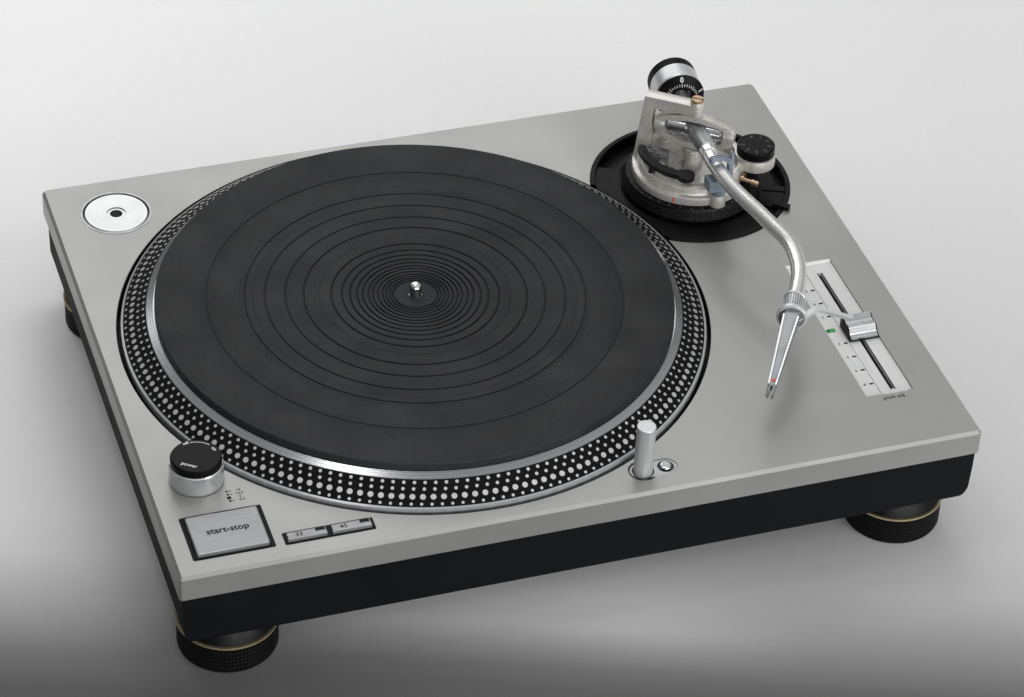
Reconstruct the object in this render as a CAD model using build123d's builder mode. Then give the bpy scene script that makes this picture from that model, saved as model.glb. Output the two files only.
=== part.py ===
import os
from math import cos, radians, sin

from build123d import *

os.makedirs("parts", exist_ok=True)

# Frame: origin on the floor under the middle of the plinth, +X right, +Y back, +Z up, millimetres

# Clearances and shared small sizes
over = 2.0
run_gap = 0.05
seat_gap = 0.1
air_gap = 0.3
wall_t = 2.0
small_edge = 0.5

# Platter and mat radii, which set the size of the plinth round them
mat_r = 147.0
mat_t = 7.7
mat_edge_w = 1.0
mat_edge_drop = 0.7
groove_w = 1.2
groove_d = 0.5
groove_in = (29.0, 50.5, 62.0, 73.5, 83.8, 99.5, 105.5)
lip_w = 0.4
lip_out_w = 4.65
band_out_w = 18.0
rim_out_w = 19.2
skirt_out_w = 10.0
recess_out_w = 21.9
lip_r = mat_r + lip_w
band_top_r = mat_r + lip_out_w
band_low_r = mat_r + band_out_w
platter_r = mat_r + rim_out_w
platter_skirt_r = mat_r + skirt_out_w
mat_edge_r = mat_r - mat_edge_w
recess_r = mat_r + recess_out_w

# Plinth: a margin on each side of the platter's recess, the arm and the pitch slider on the right
margin_left = 10.4
margin_right = 104.8
margin_front = 9.05
margin_rear = 6.65
plinth_w = margin_left + 2 * recess_r + margin_right
plinth_d = margin_front + 2 * recess_r + margin_rear
hinge_out = 6.75
plinth_y = -hinge_out / 2
left_x = -plinth_w / 2
right_x = plinth_w / 2
front_y = plinth_y - plinth_d / 2
rear_y = plinth_y + plinth_d / 2
top_z = 79.5
cabinet_h = 15.4
cabinet_edge = 1.7
cabinet_front_r = 2.0
cabinet_rear_r = 3.5
relief_wall = 12.0
relief_h = 2.4
base_inset = 1.5
base_bottom_z = 29.4
base_slope = 1.0
base_side_round = 10.0
base_front_round = 4.0
base_front_corner_r = 1.0
base_rear_corner_r = 8.5
base_wall = 11.0
base_floor = 5.0

# Feet, by their distance from the sides
foot_side_in = 32.5
foot_end_in = 32.0
foot_x = plinth_w / 2 - foot_side_in
foot_y = plinth_d / 2 - foot_end_in
foot_r = 27.5
foot_barrel_h = 18.0
foot_tread_r = 26.4
foot_tread_h = 0.6
foot_ring_h = 1.2
foot_ring_out = 0.5
foot_ring_in_r = 24.5
foot_neck_r = 22.0
foot_shoulder_r = 26.6
foot_stud_r = 5.0
foot_stud_top_z = 57.0
foot_boss_r = 15.0
foot_boss_top_z = 60.0

# Platter heights over the top plate, and its hub
platter_x = left_x + margin_left + recess_r
platter_y = front_y + margin_front + recess_r
recess_depth = 9.0
platter_low = -5.5
rim_low_z = -3.0
rim_top_z = 1.8
band_top_z = 10.5
lip_z = 12.4
mat_seat_z = 9.4
platter_web_t = 4.4
platter_hub_r = 20.0
platter_hub_low = -1.5
magnet_in_r = 53.0
magnet_out_r = 59.0
magnet_skirt_r = 62.0
magnet_low = -6.5
skirt_low = -5.0

# Spindle and motor
spindle_r = 3.6
spindle_shaft_r = 4.5
spindle_top = 25.0
spindle_dome = 3.0
spindle_bottom_z = 47.0
spindle_collar_r = 12.0
spindle_collar_h = 1.7
motor_hole_r = 56.0
board_t = 1.6
motor_board_r = 72.0
bearing_r = 10.0
bearing_flange_r = 18.0
bearing_flange_t = 2.0
bearing_bottom_z = 43.5
coil_count = 9
coil_ring_r = 39.0
coil_long = 18.0
coil_wide = 15.0
coil_h = 5.5
coil_round = 4.0
coil_core_r = 2.5

# Start-stop button
start_in_x = 32.55
start_in_y = 28.8
start_x = left_x + start_in_x
start_y = front_y + start_in_y
start_hole_w = 44.5
start_hole_d = 34.7
start_hole_r = 1.2
start_depth = 9.0
start_sink = 0.8
start_w = 39.0
start_d = 29.2
start_side = 0.5
start_up = 2.2
start_low = -4.0
start_floor_t = 3.4
start_stem_r = 3.0
start_stem_low = -6.9
start_edge_r = 0.8

# Speed buttons
speed_in_x = 84.3
speed_in_y = 15.85
speed_x = left_x + speed_in_x
speed_y = front_y + speed_in_y
speed_hole_w = 49.4
speed_hole_d = 9.8
speed_hole_r = 0.8
speed_depth = 8.0
speed_sink = 0.6
speed_w = 21.2
speed_d = 5.0
speed_side = 0.3
speed_shift = 12.1
speed_up = 1.9
speed_low = -3.4
speed_well = 5.2
speed_stem_r = 1.4
speed_stem_low = -6.6
speed_edge_r = 0.4

# Strobe tower and power knob
tower_in_x = 27.2
tower_in_y = 74.65
tower_x = left_x + tower_in_x
tower_y = front_y + tower_in_y
tower_r = 14.9
tower_top_r = 14.6
tower_h = 12.0
tower_foot_r = 14.2
tower_foot_h = 0.6
tower_edge_r = 0.6
window_angle = 34.2
window_w = 11.0
window_depth = 4.0
window_low = 2.2
window_h = 6.0
window_sink = 0.3
knob_r = 13.9
knob_h = 4.0
knob_edge_r = 0.9
knob_stem_r = 4.0
knob_stem_low = 5.0
switch_hole_r = 5.0

# Pitch slider
pitch_in_x = 36.6
pitch_in_y = 107.25
pitch_x = right_x - pitch_in_x
pitch_y = front_y + pitch_in_y
pitch_w = 28.2
pitch_d = 125.0
pitch_corner_r = 0.6
pitch_sink = 1.0
pitch_t = 2.0
slot_side = 3.6
slot_forward = 3.75
slot_x = pitch_x + slot_side
slot_y = pitch_y - slot_forward
slot_w = 2.0
slot_d = 109.5
resistor_w = 13.0
resistor_d = 118.0
resistor_h = 8.0
resistor_groove_w = 2.6
resistor_groove_h = 6.0
resistor_room = 0.5
slider_side = 1.3
slider_forward = 2.45
slider_x = slot_x + slider_side
slider_y = slot_y - slider_forward
slider_w = 18.0
slider_d = 15.5
cheek_t = 0.9
blade_w = 1.2
blade_d = 3.0
blade_low = -6.0
saddle_t = 0.8
slider_side_points = (
    (-7.75, 1.5),
    (-6.4, 1.6),
    (-4.4, 3.0),
    (-1.6, 6.0),
    (0.6, 5.6),
    (3.4, 6.0),
    (6.2, 7.6),
    (7.75, 6.4),
)

# Stylus lamp and its button
lamp_in_x = 192.6
lamp_in_y = 18.15
lamp_x = right_x - lamp_in_x
lamp_y = front_y + lamp_in_y
lamp_r = 5.25
lamp_top = 31.5
lamp_low = -9.5
lamp_edge_r = 0.6
lamp_mouth_h = 5.0
lamp_mouth_depth = 3.4
pill_side = 6.25
pill_back = 0.3
pill_x = lamp_x + pill_side
pill_y = lamp_y + pill_back
pill_w = 26.9
pill_d = 12.8
pill_t = 2.6
pill_sink = 0.4
lamp_hole_r = 6.2
guide_r = 8.2
guide_bottom_z = 41.5
lamp_button_side = 13.2
lamp_button_back = 0.6
lamp_button_x = lamp_x + lamp_button_side
lamp_button_y = lamp_y + lamp_button_back
lamp_button_r = 3.3
lamp_button_up = 1.0
lamp_button_travel = 1.0
lamp_button_hole_r = 4.6
lamp_button_stem_r = 1.2
lamp_button_stem_low = -7.6

# 45 adaptor and its cup
cup_in_x = 37.8
cup_in_y = 34.25
cup_x = left_x + cup_in_x
cup_y = rear_y - cup_in_y
cup_r = 20.4
cup_wall = 0.7
cup_depth = 11.0
cup_lip_r = 20.9
cup_lip_h = 0.2
adaptor_r = 19.0
adaptor_h = 10.0
adaptor_base_gap = 0.3
adaptor_edge = 0.8
adaptor_hole_r = 3.65
adaptor_eye_r = 5.6
adaptor_eye_depth = 0.6
adaptor_foot_r = 14.0
adaptor_foot_h = 2.0

# Tonearm dish, height ring and pillar
pivot_in_x = 75.7
pivot_in_y = 91.85
pivot_x = right_x - pivot_in_x
pivot_y = rear_y - pivot_in_y
dish_r = 60.6
dish_rim_w = 3.4
dish_rim_up = 1.1
dish_depth = 8.0
dish_floor = -0.6
dish_shelf_r = 43.0
dish_shelf = -1.2
dish_hole_r = 31.2
dish_cut_gap = 0.6
dish_pocket_in_r = 45.5
dish_pocket_depth = 6.0
dish_pocket_from_angle = 98.0
dish_pocket_to_angle = 148.0
dish_channel_in_r = 51.0
dish_channel_from_angle = -18.0
dish_channel_to_angle = 70.0
ring_r = 41.8
ring_top_r = 39.5
ring_low = 1.4
ring_side_top = 8.0
ring_top = 8.5
ring_bore_r = 30.7
pillar_r = 20.0
pillar_bore_r = 12.0
pillar_flange_r = 30.0
pillar_flange_t = 2.5
pillar_top = 5.0
wire_hole_r = 11.0

# Arm lock lever
lock_ring_out_r = 40.0
lock_ring_in_r = 34.5
lock_low = -0.9
lock_t = 1.2
lock_arm_w = 4.0
lock_rim_t = 1.4
lock_tab_r = 63.4
lock_tab_low = 0.4
lock_angle = -41.0
lock_sweep_angle = 12.0
lock_slot_angle = 6.0

# Arm base casting
gimbal_angle = -35.2
flange_r = 36.0
flange_low = 8.8
flange_top = 14.0
drum_r = 32.8
drum_top = 19.5
drum_edge_r = 1.6
bowl_r = 27.2
bowl_floor = 12.0
barrel_r = 30.5
barrel_low = -5.0
flat_s = 30.6
ceiling = 6.4
axle_post_r = 6.0
axle_post_top = 26.4
axle_pin_r = 1.5
axle_pin_h = 2.4
arm_tower_t = 8.0
arm_tower_in = 25.7
arm_tower_out_top = 31.0
arm_tower_out_low = 35.6
arm_tower_low = 12.6
arm_tower_bar_low = 50.5
arm_tower_bar_top = 57.6
arm_tower_top = 58.0
top_bearing_r = 4.15
top_bearing_low = 50.0
top_bearing_top = 59.6
top_screw_r = 3.9
top_screw_h = 1.6
top_screw_slot_w = 1.0
top_screw_slot_depth = 0.8
bias_x = 36.8
bias_y = -9.1
bias_boss_r = 12.3
bias_boss_low = 15.0
bias_boss_top = 22.2
bias_root_x = 27.0
bias_bracket_w = 9.0
bias_bracket_low = 12.4
bias_bracket_top = 18.5
bias_cap_r = 11.4
bias_cap_h = 5.5
bias_cap_edge_r = 0.9
bias_stem_r = 3.0
bias_stem_h = 5.0
rest_x = 3.2
rest_y = -35.5
rest_post_r = 5.0
rest_post_top = 16.8

# Gimbal yoke, heights over the top plate and reaches along the pitch axis
pitch_z = 39.5
yoke_t = 6.4
yoke_half = (
    (6.5, 26.9),
    (23.6, 33.0),
    (23.6, 43.4),
    (20.5, 46.4),
    (6.0, 49.6),
)
yoke_window_half = (
    (8.0, 31.0),
    (17.4, 34.4),
    (17.4, 43.2),
    (14.5, 44.2),
    (4.0, 45.8),
)
yoke_boss_r = 4.3
yoke_boss_in = 18.0
yoke_boss_out = 24.2
pivot_screw_r = 2.4
pivot_screw_head_r = 2.9
pivot_screw_head_t = 0.5
pivot_tip_r = 1.0
pivot_tip_in = 15.4

# Hub, tube and rear shaft
shaft_r = 3.2
shaft_reach = 17.0
neck_w = 9.6
neck_h = 10.4
neck_back = 6.0
neck_front = 23.0
neck_round = 2.6
tube_r = 4.5
tube_points = (
    (-0.7, -25.0, 39.6),
    (-1.4, -46.0, 40.0),
    (2.2, -69.8, 39.2),
    (6.7, -86.2, 38.6),
    (10.7, -103.0, 38.2),
    (13.7, -118.4, 37.8),
    (12.8, -131.4, 37.5),
    (9.7, -143.5, 37.2),
    (4.6, -155.0, 37.0),
    (-0.8, -164.7, 36.7),
)
collar_r = 5.3
collar_h = 5.0
rear_turn_angle = 5.0
rear_r = 5.0
rear_start = 3.0
rear_end = 52.0
dial_r = 15.0
dial_front_r = 8.6
dial_start = 30.6
dial_cone_t = 3.6
dial_t = 4.6
dial_bore_r = 7.5
weight_r = 14.8
weight_gap = 0.3
weight_t = 12.8
weight_edge = 1.4
weight_band_t = 6.9
weight_band_r = 14.6
weight_hub_len = 4.5

# Locking nut and headshell, measured from the tube's end
nut_point = (-9.0, -180.4, 36.3)
socket_r = 4.15
socket_len = 12.0
socket_bore_r = 3.2
socket_bore_len = 11.0
nut_r = 5.8
nut_start = 1.6
nut_len = 14.4
nut_round = 1.0
plug_r = 3.15
plug_len = 13.0
plug_seat = 1.6
shell_gap = 0.3
shell_collar_r = 7.6
shell_collar_t = 3.2
shell_tip = (-38.7, -225.9, 21.0)
shell_neck_w = 9.4
shell_neck_h = 10.4
shell_mid_w = 6.8
shell_mid_h = 8.0
shell_tip_w = 4.4
shell_tip_h = 4.6
shell_round = 1.6
shell_mid_share = 0.45
fork_w = 1.5
fork_len = 6.0
stylus_r = 0.5
stylus_len = 5.5
stylus_back = 5.0
lift_r = 0.9
lift_points = (
    (-10.2, -183.6, 36.0),
    (-2.0, -183.2, 36.6),
    (4.6, -179.4, 37.0),
    (10.0, -181.0, 36.6),
    (23.4, -190.3, 35.6),
)

# Arm rest and clamp
column_r = 4.5
cradle_y = -43.0
cradle_t = 8.8
cradle_low = 26.5
cradle_top = 33.7
cradle_left = -7.6
cradle_right = 2.6
lug_x = 6.6
lug_z = 30.4
lug_r = 3.2
clevis_t = 4.8
clamp_t = 4.0
column_top_r = 3.8
column_top_x = -0.5
column_top_y = -41.0
clamp_pin_r = 1.5
clamp_in_x = 4.6
clamp_top = 46.8
clamp_wall = 2.2
clamp_tip_x = -6.9
clamp_tip_z = 45.3
clamp_blade_top = 51.0
clamp_round = 3.4

# Cue lever and arm lift
cue_t = 2.4
cue_z = 11.2
cue_stem_r = 1.8
cue_stem_in = 27.8
cue_plate_s = 31.0
cue_plate_t = 2.2
cue_knee_t = -3.0
cue_knee_z = 13.2
cue_rod_r = 1.3
cue_tip_s = 42.5
cue_tip_t = -4.4
cue_tip_z = 12.0
cue_end_r = 1.9
cue_end_len = 4.5
lift_arc_r = 31.2
lift_arc_w = 5.2
lift_arc_low = 25.0
lift_arc_top = 28.0
lift_from_angle = 170.0
lift_to_angle = 242.0
lift_end_r = 5.2
lift_stem_r = 2.0
lift_stem_radius = 30.0
lift_stem_angle = 196.0
lift_stem_low = 10.5

# Inside parts
transformer_in_x = 76.5
transformer_in_y = 116.75
transformer_x = right_x - transformer_in_x
transformer_y = front_y + transformer_in_y
transformer_w = 62.0
transformer_d = 50.0
transformer_h = 22.0
transformer_coil_w = 40.0
transformer_coil_d = 66.0
transformer_coil_h = 16.0
main_board_in_x = 76.5
main_board_in_y = 116.75
main_board_x = left_x + main_board_in_x
main_board_y = rear_y - main_board_in_y
main_board_w = 80.0
main_board_d = 110.0
chip_count = 4
chip_w = 18.0
chip_d = 9.0
chip_h = 3.0
chip_pitch = 22.0
board_post_h = 6.0
board_post_r = 4.0
board_post_x = 32.0
board_post_y = 46.0

# Rear fittings and underside
hinge_in_x = 76.5
hinge_x = plinth_w / 2 - hinge_in_x
hinge_w = 38.0
hinge_seat_depth = 2.0
hinge_low_z = 40.0
hinge_top_z = 64.0
hinge_slot_w = 27.0
hinge_slot_d = 3.0
hinge_slot_wall = 2.5
hinge_slot_floor_z = 44.0
gland_in_x = 106.5
gland_pitch = 60.0
gland_z = 50.0
gland_r = 6.5
gland_out = 4.0
gland_bore_r = 2.6
gland_bore_depth = 3.0
gland_nose_r = 4.6
cover_side_in = 96.5
cover_end_in = 56.75
cover_screw_in_x = 30.0
cover_screw_in_y = 20.0
cover_screw_r = 4.0
cover_w = plinth_w - 2 * cover_side_in
cover_d = plinth_d - 2 * cover_end_in
cover_screw_x = cover_w / 2 - cover_screw_in_x
cover_screw_y = cover_d / 2 - cover_screw_in_y
cover_t = 1.5

# Derived heights and directions
base_top_z = top_z - cabinet_h
recess_z = top_z - recess_depth
relief_z = base_top_z + relief_h
base_w = plinth_w - 2 * base_inset
base_d = plinth_d - 2 * base_inset
base_rear_y = plinth_y + base_d / 2
gland_x = (left_x + gland_in_x, left_x + gland_in_x + gland_pitch)
groove_radii = [mat_r - groove for groove in groove_in]
gimbal = radians(gimbal_angle)
reach_dir = Vector(cos(gimbal), sin(gimbal), 0)
front_dir = Vector(sin(gimbal), -cos(gimbal), 0)
pivot = Vector(pivot_x, pivot_y, top_z)
yoke_plane = Plane(origin=pivot, x_dir=reach_dir, z_dir=front_dir)
reach_plane = Plane(origin=pivot, x_dir=reach_dir, z_dir=(0, 0, 1))
lift_stem_x = lift_stem_radius * cos(radians(lift_stem_angle))
lift_stem_y = lift_stem_radius * sin(radians(lift_stem_angle))


def upright(x, y, z=0):
    return Plane(origin=(x, y, z), x_dir=(1, 0, 0), z_dir=(0, -1, 0))


def sideways(x, y, z=0):
    return Plane(origin=(x, y, z), x_dir=(0, 1, 0), z_dir=(1, 0, 0))


def level(z):
    return Plane(origin=(0, plinth_y, z))


def upright_axis(x, y):
    return Axis((x, y, 0), (0, 0, 1))


def flat(x, y, z):
    return Plane(origin=(x, y, z))


def arm_point(point):
    return Vector(pivot_x + point[0], pivot_y + point[1], top_z + point[2])


def along(plane_origin, direction):
    return Plane(origin=plane_origin, z_dir=direction)


def ring_sector(in_r, out_r, from_angle, to_angle):
    with BuildLine() as outline:
        inner = CenterArc((0, 0), in_r, from_angle, to_angle - from_angle)
        outer = CenterArc((0, 0), out_r, from_angle, to_angle - from_angle)
        Line(inner @ 0, outer @ 0)
        Line(inner @ 1, outer @ 1)
    return outline.edges()


# Top cabinet: the silver casting with its recess and pockets
with BuildPart() as top_cabinet:
    with BuildSketch(level(base_top_z)) as cabinet_outline:
        Rectangle(plinth_w, plinth_d)
        fillet(cabinet_outline.vertices().group_by(Axis.Y)[0], cabinet_front_r)
        fillet(cabinet_outline.vertices().group_by(Axis.Y)[-1], cabinet_rear_r)
    extrude(amount=cabinet_h)
    chamfer(top_cabinet.faces().sort_by(Axis.Z)[-1].edges(), cabinet_edge)
    with BuildSketch(level(base_top_z - over)):
        Rectangle(plinth_w - 2 * relief_wall, plinth_d - 2 * relief_wall)
    extrude(amount=relief_h + over, mode=Mode.SUBTRACT)
    with BuildSketch(flat(platter_x, platter_y, recess_z)):
        Circle(recess_r)
    extrude(amount=recess_depth + over, mode=Mode.SUBTRACT)
    with BuildSketch(flat(platter_x, platter_y, base_top_z)):
        Circle(motor_hole_r)
    extrude(amount=cabinet_h, mode=Mode.SUBTRACT)
    with BuildSketch(flat(start_x, start_y, top_z - start_depth)):
        RectangleRounded(start_hole_w, start_hole_d, start_hole_r)
    extrude(amount=start_depth + over, mode=Mode.SUBTRACT)
    with BuildSketch(flat(speed_x, speed_y, top_z - speed_depth)):
        RectangleRounded(speed_hole_w, speed_hole_d, speed_hole_r)
    extrude(amount=speed_depth + over, mode=Mode.SUBTRACT)
    with BuildSketch(flat(tower_x, tower_y, base_top_z)):
        Circle(switch_hole_r)
    extrude(amount=cabinet_h + over, mode=Mode.SUBTRACT)
    with BuildSketch(flat(pitch_x, pitch_y, top_z - pitch_sink - pitch_t)):
        RectangleRounded(pitch_w, pitch_d, pitch_corner_r)
    extrude(amount=pitch_sink + pitch_t + over, mode=Mode.SUBTRACT)
    with BuildSketch(flat(slot_x, slot_y, base_top_z)):
        Rectangle(resistor_w + 2 * resistor_room, resistor_d + 2 * resistor_room)
    extrude(amount=cabinet_h, mode=Mode.SUBTRACT)
    with BuildSketch(flat(pill_x, pill_y, top_z - pill_sink - pill_t)):
        SlotOverall(pill_w, pill_d)
    extrude(amount=pill_sink + pill_t + over, mode=Mode.SUBTRACT)
    with BuildSketch(flat(lamp_x, lamp_y, base_top_z)):
        Circle(guide_r)
    extrude(amount=cabinet_h, mode=Mode.SUBTRACT)
    with BuildSketch(flat(lamp_button_x, lamp_button_y, base_top_z)):
        Circle(lamp_button_stem_r + air_gap)
    extrude(amount=cabinet_h, mode=Mode.SUBTRACT)
    with BuildSketch(flat(cup_x, cup_y, top_z - cup_depth - cup_wall)):
        Circle(cup_r)
    extrude(amount=cup_depth + cup_wall + over, mode=Mode.SUBTRACT)
    with BuildSketch(flat(pivot_x, pivot_y, top_z - dish_depth)):
        Circle(dish_r)
    extrude(amount=dish_depth + over, mode=Mode.SUBTRACT)
    with BuildSketch(flat(pivot_x, pivot_y, base_top_z)):
        Circle(wire_hole_r)
    extrude(amount=cabinet_h, mode=Mode.SUBTRACT)
top_cabinet.part.label = "top_cabinet"
export_step(top_cabinet.part, "parts/top_cabinet.step")

# Rubber base: heavy tray with rounded lower sides and sockets for the feet
with BuildPart() as rubber_base:
    with BuildSketch(level(base_bottom_z)) as base_outline:
        Rectangle(base_w, base_d)
        fillet(base_outline.vertices().group_by(Axis.Y)[0], base_front_corner_r)
        fillet(base_outline.vertices().group_by(Axis.Y)[-1], base_rear_corner_r)
    extrude(amount=base_top_z - base_bottom_z)
    with BuildSketch(upright(0, base_rear_y + over)) as base_front_view:
        with BuildLine():
            Polyline(
                (-base_w / 2 + base_slope, base_bottom_z),
                (base_w / 2 - base_slope, base_bottom_z),
                (base_w / 2, base_top_z),
                (-base_w / 2, base_top_z),
                close=True,
            )
        make_face()
        fillet(base_front_view.vertices().group_by(Axis.Y)[0], base_side_round)
    extrude(amount=base_d + 2 * over, mode=Mode.INTERSECT)
    with BuildSketch(sideways(-base_w / 2 - over, plinth_y)) as base_side_view:
        with BuildLine():
            Polyline(
                (-base_d / 2 + base_slope, base_bottom_z),
                (base_d / 2 - base_slope, base_bottom_z),
                (base_d / 2, base_top_z),
                (-base_d / 2, base_top_z),
                close=True,
            )
        make_face()
        fillet(base_side_view.vertices().group_by(Axis.Y)[0], base_front_round)
    extrude(amount=base_w + 2 * over, mode=Mode.INTERSECT)
    with BuildSketch(level(base_bottom_z + base_floor)):
        Rectangle(base_w - 2 * base_wall, base_d - 2 * base_wall)
    extrude(amount=base_top_z, mode=Mode.SUBTRACT)
    with BuildSketch(level(base_bottom_z + base_floor)):
        with GridLocations(2 * foot_x, 2 * foot_y, 2, 2):
            Circle(foot_boss_r)
    extrude(amount=foot_boss_top_z - base_bottom_z - base_floor)
    with BuildSketch(level(base_bottom_z - over)):
        with GridLocations(2 * foot_x, 2 * foot_y, 2, 2):
            Circle(foot_stud_r + run_gap)
    extrude(amount=foot_stud_top_z - base_bottom_z + over + air_gap, mode=Mode.SUBTRACT)
    with BuildSketch(flat(lamp_x, lamp_y, base_bottom_z + base_floor)):
        Circle(guide_r + air_gap)
    extrude(amount=base_top_z, mode=Mode.SUBTRACT)
    with BuildSketch(level(base_bottom_z - over)):
        Rectangle(cover_w + 2 * seat_gap, cover_d + 2 * seat_gap)
    extrude(amount=cover_t + over, mode=Mode.SUBTRACT)
    for gland in gland_x:
        with BuildSketch(upright(gland, base_rear_y + over, gland_z)):
            Circle(gland_nose_r)
        extrude(amount=base_wall + 2 * over, mode=Mode.SUBTRACT)
    with BuildSketch(level(hinge_low_z)):
        for side in (-1, 1):
            with Locations((side * hinge_x, base_d / 2)):
                Rectangle(hinge_w, 2 * hinge_seat_depth)
    extrude(amount=hinge_top_z - hinge_low_z, mode=Mode.SUBTRACT)
rubber_base.part.label = "rubber_base"
export_step(rubber_base.part, "parts/rubber_base.step")

# Bottom cover: steel sheet let into the underside of the base
with BuildPart() as bottom_cover:
    with BuildSketch(level(base_bottom_z)):
        Rectangle(cover_w, cover_d)
        with GridLocations(2 * cover_screw_x, 2 * cover_screw_y, 2, 2):
            Circle(cover_screw_r, mode=Mode.SUBTRACT)
    extrude(amount=cover_t)
bottom_cover.part.label = "bottom_cover"
export_step(bottom_cover.part, "parts/bottom_cover.step")

# Four screws that hold the bottom cover
with BuildPart() as cover_screws:
    with BuildSketch(level(base_bottom_z)):
        with GridLocations(2 * cover_screw_x, 2 * cover_screw_y, 2, 2):
            Circle(cover_screw_r - seat_gap)
    extrude(amount=cover_t)
cover_screws.part.label = "cover_screws"
export_step(cover_screws.part, "parts/cover_screws.step")

# Feet: knurled barrel, rubber tread, cone up to the base, stud in its socket
foot_names = ("foot_front_left", "foot_front_right", "foot_rear_left", "foot_rear_right")
foot_places = (
    (-foot_x, plinth_y - foot_y),
    (foot_x, plinth_y - foot_y),
    (-foot_x, plinth_y + foot_y),
    (foot_x, plinth_y + foot_y),
)
foot_cone_z = foot_barrel_h + foot_ring_h
for foot_name, foot_place in zip(foot_names, foot_places):
    with BuildPart() as foot:
        with BuildSketch(upright(foot_place[0], foot_place[1])):
            with BuildLine():
                Polyline(
                    (0, 0),
                    (foot_tread_r, 0),
                    (foot_tread_r, foot_tread_h),
                    (foot_r - small_edge, foot_tread_h),
                    (foot_r, foot_tread_h + small_edge),
                    (foot_r, foot_barrel_h),
                    (foot_ring_in_r - seat_gap, foot_barrel_h),
                    (foot_ring_in_r - seat_gap, foot_cone_z),
                    (foot_shoulder_r, foot_cone_z),
                    (foot_neck_r, base_bottom_z - air_gap),
                    (foot_stud_r, base_bottom_z - air_gap),
                    (foot_stud_r, foot_stud_top_z),
                    (0, foot_stud_top_z),
                    close=True,
                )
            make_face()
        revolve(axis=upright_axis(foot_place[0], foot_place[1]))
    foot.part.label = foot_name
    export_step(foot.part, f"parts/{foot_name}.step")
    with BuildPart() as foot_trim:
        with BuildSketch(flat(foot_place[0], foot_place[1], foot_barrel_h)):
            Circle(foot_r + foot_ring_out)
            Circle(foot_ring_in_r, mode=Mode.SUBTRACT)
        extrude(amount=foot_ring_h)
    foot_trim.part.label = f"{foot_name}_trim"
    export_step(foot_trim.part, f"parts/{foot_name}_trim.step")

# Platter: cast dish with a sloping strobe band, hub and magnet skirt
with BuildPart() as platter:
    with BuildSketch(upright(platter_x, platter_y, top_z)):
        with BuildLine():
            Polyline(
                (spindle_shaft_r + run_gap, mat_seat_z),
                (mat_r + seat_gap, mat_seat_z),
                (mat_r + seat_gap, lip_z),
                (lip_r + small_edge, lip_z),
                (band_top_r, band_top_z),
                (band_low_r, rim_top_z),
                (platter_r, rim_top_z - small_edge),
                (platter_r, rim_low_z),
                (band_low_r, platter_low),
                (platter_skirt_r, platter_low),
                (band_top_r - wall_t, mat_seat_z - platter_web_t),
                (magnet_skirt_r + wall_t, mat_seat_z - platter_web_t),
                (magnet_skirt_r, skirt_low),
                (magnet_out_r, skirt_low),
                (magnet_out_r, mat_seat_z - platter_web_t),
                (platter_hub_r, mat_seat_z - platter_web_t),
                (platter_hub_r, platter_hub_low),
                (spindle_shaft_r + run_gap, platter_hub_low),
                close=True,
            )
        make_face()
    revolve(axis=upright_axis(platter_x, platter_y))
platter.part.label = "platter"
export_step(platter.part, "parts/platter.step")

# Rubber mat with its ring grooves
with BuildPart() as rubber_mat:
    with BuildSketch(upright(platter_x, platter_y, top_z + mat_seat_z)):
        with BuildLine():
            Polyline(
                (spindle_shaft_r + air_gap, 0),
                (mat_r, 0),
                (mat_r, mat_t - mat_edge_drop),
                (mat_edge_r, mat_t),
                (spindle_shaft_r + air_gap, mat_t),
                close=True,
            )
        make_face()
        for groove_r in groove_radii:
            with Locations((groove_r, mat_t)):
                Rectangle(groove_w, 2 * groove_d, mode=Mode.SUBTRACT)
    revolve(axis=upright_axis(platter_x, platter_y))
rubber_mat.part.label = "rubber_mat"
export_step(rubber_mat.part, "parts/rubber_mat.step")

# Rotor magnet: ring inside the platter's skirt
with BuildPart() as rotor_magnet:
    with BuildSketch(flat(platter_x, platter_y, top_z + magnet_low)):
        Circle(magnet_out_r)
        Circle(magnet_in_r, mode=Mode.SUBTRACT)
    extrude(amount=mat_seat_z - platter_web_t - magnet_low)
rotor_magnet.part.label = "rotor_magnet"
export_step(rotor_magnet.part, "parts/rotor_magnet.step")

# Spindle: pin for the record on a thicker shaft, with the collar that carries the platter
with BuildPart() as spindle:
    with BuildSketch(flat(platter_x, platter_y, spindle_bottom_z)):
        Circle(spindle_r)
    extrude(amount=top_z + spindle_top - spindle_bottom_z)
    fillet(spindle.faces().sort_by(Axis.Z)[-1].edges(), spindle_dome)
    with BuildSketch(flat(platter_x, platter_y, spindle_bottom_z)):
        Circle(spindle_shaft_r)
    extrude(amount=top_z + mat_seat_z + mat_t - spindle_bottom_z)
    with BuildSketch(flat(platter_x, platter_y, top_z + platter_hub_low - spindle_collar_h)):
        Circle(spindle_collar_r)
    extrude(amount=spindle_collar_h)
spindle.part.label = "spindle"
export_step(spindle.part, "parts/spindle.step")

# Spindle bearing: blind housing with a flange under the motor board
bearing_top_z = top_z + platter_hub_low - spindle_collar_h - air_gap
board_z = relief_z - board_t
with BuildPart() as spindle_bearing:
    with BuildSketch(flat(platter_x, platter_y, bearing_bottom_z)):
        Circle(bearing_r)
    extrude(amount=bearing_top_z - bearing_bottom_z)
    with BuildSketch(flat(platter_x, platter_y, board_z - bearing_flange_t)):
        Circle(bearing_flange_r)
    extrude(amount=bearing_flange_t)
    with BuildSketch(flat(platter_x, platter_y, spindle_bottom_z - air_gap)):
        Circle(spindle_shaft_r + run_gap)
    extrude(amount=top_z, mode=Mode.SUBTRACT)
spindle_bearing.part.label = "spindle_bearing"
export_step(spindle_bearing.part, "parts/spindle_bearing.step")

# Motor board: round board under the recess
with BuildPart() as motor_board:
    with BuildSketch(flat(platter_x, platter_y, board_z)):
        Circle(motor_board_r)
        Circle(bearing_r + seat_gap, mode=Mode.SUBTRACT)
    extrude(amount=board_t)
motor_board.part.label = "motor_board"
export_step(motor_board.part, "parts/motor_board.step")

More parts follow.
